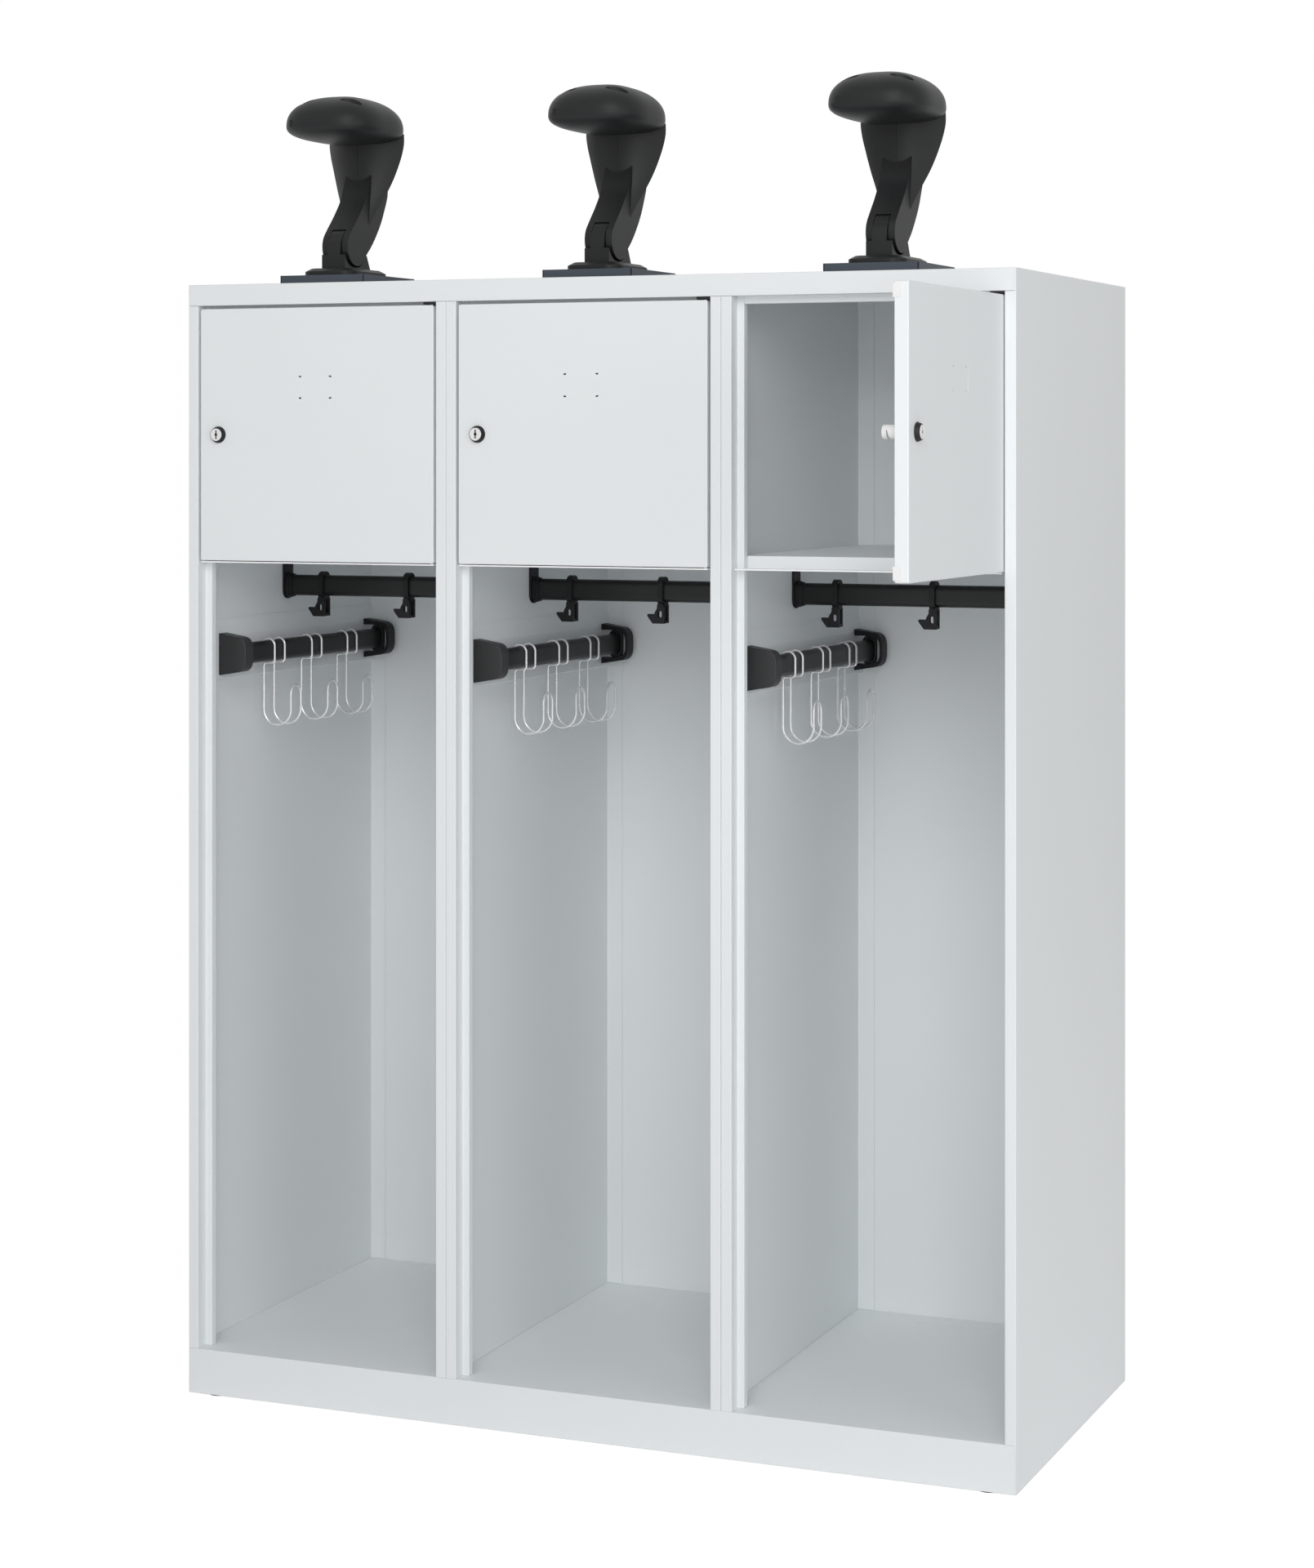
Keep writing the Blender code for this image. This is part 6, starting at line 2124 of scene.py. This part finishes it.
    def side_line(self, shares: Sequence[Point], size: float, steps: int) -> Ring:
        """A smooth line in the side view.

        Args:
            shares: its points, from the pivot, as shares of a size.
            size: that size.
            steps: the facets between two points.

        Returns:
            The points along it.
        """
        _, pivot_y, pivot_z = self.pivot
        return flowing([(pivot_y + along * size, pivot_z + up * size) for along, up in shares], steps)

    def lug(self) -> Ring:
        """The side view of the lug, whose front runs down into the block's."""
        size, shares = self.lug_radius, self.lug_front_shares
        foot = self.side_line((self.lug_foot_share, shares[0]), size, 1)
        back = arc(self.pivot.yz, size, *self.lug_back_deg, self.lug_steps)
        return foot + self.side_line(shares[1:], size, self.lug_front_steps) + back

    def arm(self) -> Mesh:
        """The arm with its round ears, from its smooth side view."""
        middle, pivot_y, pivot_z = self.pivot
        front = self.side_line(self.arm_front_shares, self.stem_rise, self.arm_steps)
        back = self.side_line(self.arm_back_shares, self.stem_rise, self.arm_steps)
        along, up = self.ear_lift
        ears = arc((pivot_y + along, pivot_z + up), self.ear_radius, *self.ear_deg, self.ear_steps)
        half = self.stem_width / 2
        return prism([front + back + ears], Axis.X, middle - half, middle + half)

    def funnel(self, grow: float = 0.0) -> Mesh:
        """Makes the lens-shaped upper part of the stem, with sharp side ridges.

        Args:
            grow: how much larger it is made, as room for it.

        Returns:
            The closed mesh.
        """
        middle, pivot_y, pivot_z = self.pivot
        base = pivot_z + self.stem_rise - self.funnel_height + grow
        rings = []
        for height, width, run in flowing(self.funnel_shares, self.funnel_rows):
            bulge = self.funnel_tip_bulge + (1 - self.funnel_tip_bulge) * height
            ridge = pivot_y + self.funnel_tip_set_back + run * self.funnel_ridge_run
            half = width * self.funnel_half_width + 2 * grow
            level = base + height * self.funnel_height
            section = []
            for sign, depth in ((-1, self.funnel_front_bulge), (1, self.funnel_rear_bulge)):
                for step in range(self.funnel_steps):
                    across = sign * (2 * step / self.funnel_steps - 1)
                    swell = sign * (depth * bulge + grow) * (1 - across**2)
                    section.append((middle - across * half, ridge + swell, level))
            rings.append(section)
        return lofted(rings)

    @made_once
    def stem(self) -> Mesh:
        """Arm and funnel in one moulding, slotted over the centre lug."""
        middle, pivot_y, pivot_z = self.pivot
        slot_half = self.lug_width / 2 + self.slot_gap
        pin_half = self.pin_length / 2 + GAP
        centre = (pivot_y, pivot_z)
        work = Workpiece(self.arm()).join(self.funnel())
        room = self.lug_radius + self.slot_room
        work.cut(cylinder(centre, room, Axis.X, middle - slot_half, middle + slot_half))
        work.cut(cylinder(centre, self.pin_radius + GAP, Axis.X, middle - pin_half, middle + pin_half))
        seam_y = pivot_y + self.seam_set_back
        seam_low = (middle - self.seam_width / 2, seam_y - 3 * OVERRUN, pivot_z + self.seam_low)
        seam_high = (middle + self.seam_width / 2, seam_y, pivot_z + self.head_rise)
        return work.cut(block(seam_low, seam_high)).mesh()

    def head_point(self, unit: Vector) -> Vector:
        """Moves a point of the unit sphere onto the head, a superellipse in plan and in height.

        Args:
            unit: the point of the sphere.

        Returns:
            The point of the head.
        """
        middle, _, pivot_z = self.pivot
        centre = Vector((middle, Places.front_y + self.head_centre_depth, pivot_z + self.head_rise))
        flat = min(math.hypot(unit.x, unit.y), 1.0)
        upper = unit.z >= 0
        height = self.head_crown if upper else -self.head_underside
        exponent = self.crown_exponent if upper else self.underside_exponent
        if flat < MERGE_DISTANCE:
            return centre + Vector((0, 0, height))
        power = self.plan_exponent
        plan = (abs(unit.x) ** power + abs(unit.y) ** power) ** (1 / power)
        spread = flat ** (2 / exponent) / plan
        rise = abs(unit.z) ** (2 / exponent)
        across = unit.x * spread * self.head_half_width
        along = unit.y * spread * self.head_half_length
        return centre + Vector((across, along, height * rise))

    @made_once
    def head(self) -> Mesh:
        """The rounded head with its slots and hole, hollowed under for the top of the stem."""
        bm = bmesh.new()
        bmesh.ops.create_uvsphere(bm, u_segments=self.head_segments, v_segments=self.head_rings, radius=1.0)
        for vert in bm.verts:
            vert.co = self.head_point(vert.co)
        work = Workpiece(finished(bm)).cut(self.funnel(GAP))
        middle, _, pivot_z = self.pivot
        centre_z = pivot_z + self.head_rise
        for side_x in (-1, 1):
            for side_y in (-1, 1):
                work.cut(self.scoop(side_x, side_y))
        hole = (middle - self.hole_offset, centre_z + self.hole_rise)
        front = Places.front_y + self.head_centre_depth - self.head_half_length
        work.cut(cylinder(hole, self.hole_radius, Axis.Y, front - OVERRUN, front + self.hole_depth))
        return work.mesh()

    def scoop(self, side_x: int, side_y: int) -> Mesh:
        """Makes the space of a lens-shaped scoop across the crown, flared towards its mouth.

        Args:
            side_x: -1 for the left ones, 1 for the right ones.
            side_y: -1 for the front ones, 1 for the rear ones.

        Returns:
            The closed mesh.
        """
        middle, _, pivot_z = self.pivot
        place = Vector(
            (
                middle + side_x * self.scoop_spacing_x / 2,
                Places.front_y + self.head_centre_depth + side_y * self.scoop_spacing_y / 2,
                pivot_z + self.head_rise,
            )
        )
        turn = Matrix.Rotation(-side_x * side_y * math.radians(self.scoop_turn_deg), 3, "Z")
        heights = [self.scoop_floor, *(self.head_crown * share for share in self.scoop_shares)]
        heights.append(self.head_crown + OVERRUN)
        rings = []
        for flare, height in enumerate(heights):
            grow = (flare - 1) * self.scoop_flare
            ring = []
            for step in range(self.scoop_steps):
                angle = math.tau * step / self.scoop_steps
                across = (self.scoop_length / 2 + grow) * math.cos(angle)
                along = (self.scoop_width / 2 + grow) * math.sin(angle)
                ring.append(tuple(place + turn @ Vector((across, along, height))))
            rings.append(ring)
        return lofted(rings)

    def build(self) -> None:
        """Makes the pieces of the holder."""
        number = self.bay.number
        folding = f"helmet_holder_{number}"
        add_piece(f"holder_plate_{number}", self.plate(), SLATE_COAT, "carcass", [f"helmet_plate_{number}"])
        # Painted shade: black blocks fill the slits just behind their mouths to darken them.
        slit_shade = merged([self.slit(side, self.slit_shade_set_back, HAIR) for side in (-1, 1)])
        add_piece(f"holder_seals_{number}", Workpiece(slit_shade).mesh(), BLACK_PLASTIC, "carcass")
        add_piece(f"holder_foot_{number}", self.foot(), BLACK_PLASTIC, "carcass", [f"helmet_foot_{number}"])
        add_piece(f"holder_stem_{number}", self.stem(), BLACK_PLASTIC, folding, [f"helmet_stem_{number}"])
        add_piece(f"holder_head_{number}", self.head(), BLACK_PLASTIC, folding, [f"helmet_head_{number}"])


# Studio


@dataclass(frozen=True)
class Studio:
    """The pale floor, the soft light and the camera."""

    camera_place: Place = (1.755995, -3.679746, 1.304977)
    camera_yaw_deg: float = 20.311
    lens: float = 69.717
    sensor: float = 36.0
    shift_x: float = -0.1435
    shift_y: float = -0.2136
    floor_size: float = 40.0
    floor_grid: int = 8
    floor_tone: float = 0.9
    floor_glow: float = 0.68
    sky_strength: float = 0.38
    lamp_size: float = 2.6
    lamps: tuple[tuple[str, Place, Place, float], ...] = (
        ("low_lamp", (1.7, -4.6, 1.4), (0.0, 0.0, 0.8), 37.0),
        ("high_lamp", (1.4, -4.0, 3.4), (0.0, 0.0, 0.8), 74.0),
        ("right_lamp", (4.8, -2.2, 1.8), (0.0, -0.1, 0.9), 40.0),
    )

    def camera(self) -> None:
        """Sets the camera up at the photograph's place."""
        data = bpy.data.cameras.new("camera")
        data.sensor_width = self.sensor
        data.lens = self.lens
        data.shift_x = self.shift_x
        data.shift_y = self.shift_y
        data.clip_end = 2 * self.floor_size
        obj = bpy.data.objects.new("camera", data)
        obj.location = self.camera_place
        obj.rotation_euler = (math.pi / 2, 0.0, math.radians(self.camera_yaw_deg))
        bpy.context.scene.collection.objects.link(obj)
        bpy.context.scene.camera = obj

    def seen_directly(self, tree: bpy.types.NodeTree) -> bpy.types.NodeSocket:
        """Makes a factor: 1 for what the camera, a gloss or a glass shows, 0 for the light itself.

        Args:
            tree: the tree of nodes.

        Returns:
            The factor.
        """
        path = add_node(tree, "ShaderNodeLightPath", {})
        total = path.outputs["Is Camera Ray"]
        for name in ("Is Glossy Ray", "Is Transmission Ray"):
            add = add_node(tree, "ShaderNodeMath", {0: total, 1: path.outputs[name]}, operation="MAXIMUM")
            total = add.outputs[0]
        return total

    def sky(self) -> None:
        """Lights the scene evenly and shows plain white behind it."""
        world = bpy.data.worlds.new("studio")
        bpy.context.scene.world = world
        world.use_nodes = True
        tree = world.node_tree
        tree.nodes.clear()
        white = (1.0, 1.0, 1.0, 1.0)
        light = add_node(tree, "ShaderNodeBackground", {"Color": white, "Strength": self.sky_strength})
        shown = add_node(tree, "ShaderNodeBackground", {"Color": white})
        sources = {0: self.seen_directly(tree), 1: light.outputs[0], 2: shown.outputs[0]}
        mix = add_node(tree, "ShaderNodeMixShader", sources)
        add_node(tree, "ShaderNodeOutputWorld", {0: mix.outputs[0]})

    def floor(self) -> None:
        """Lays the pale floor, which shows as white except where the locker shades it."""
        bm = bmesh.new()
        grid = self.floor_grid
        bmesh.ops.create_grid(bm, x_segments=grid, y_segments=grid, size=self.floor_size / 2)
        mesh = bpy.data.meshes.new("floor")
        bm.to_mesh(mesh)
        bm.free()
        material = bpy.data.materials.new("studio_floor")
        material.use_nodes = True
        tree = material.node_tree
        shader = tree.nodes["Principled BSDF"]
        tone = self.floor_tone
        shader.inputs["Base Color"].default_value = (tone, tone, tone, 1.0)
        shader.inputs["Roughness"].default_value = 0.9
        shader.inputs["Specular IOR Level"].default_value = 0.0
        glow = add_node(tree, "ShaderNodeEmission", {"Strength": self.floor_glow})
        nothing = add_node(tree, "ShaderNodeEmission", {"Strength": 0.0})
        sources = {0: self.seen_directly(tree), 1: nothing.outputs[0], 2: glow.outputs[0]}
        choose = add_node(tree, "ShaderNodeMixShader", sources)
        total = add_node(tree, "ShaderNodeAddShader", {0: choose.outputs[0], 1: shader.outputs[0]})
        tree.links.new(total.outputs[0], tree.nodes["Material Output"].inputs["Surface"])
        mesh.materials.append(material)
        obj = bpy.data.objects.new("studio_floor", mesh)
        bpy.context.scene.collection.objects.link(obj)

    def lamp(self, name: str, place: Place, aim: Place, power: float) -> None:
        """Adds a large soft lamp.

        Args:
            name: its name.
            place: where it hangs.
            aim: what it points at.
            power: its power in watts.
        """
        data = bpy.data.lights.new(name, "AREA")
        data.size = self.lamp_size
        data.energy = power
        obj = bpy.data.objects.new(name, data)
        obj.location = place
        obj.rotation_euler = (Vector(aim) - Vector(place)).to_track_quat("-Z", "Y").to_euler()
        bpy.context.scene.collection.objects.link(obj)

    def build(self) -> None:
        """Sets up floor, light and camera."""
        self.camera()
        self.sky()
        self.floor()
        for name, place, aim, power in self.lamps:
            self.lamp(name, place, aim, power)
        bpy.context.scene.view_settings.view_transform = "Standard"


def main() -> None:
    """Builds the classes in order."""
    logging.basicConfig(level=logging.INFO, format="%(message)s")
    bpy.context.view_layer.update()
    CARCASS.build()
    for bay in BAYS:
        TopBox(bay).build()
        Door(bay).build()
        CoatRail(bay).build()
        SideRail(bay).build()
        HelmetHolder(bay).build()
    Studio().build()


if __name__ == "__main__":
    main()
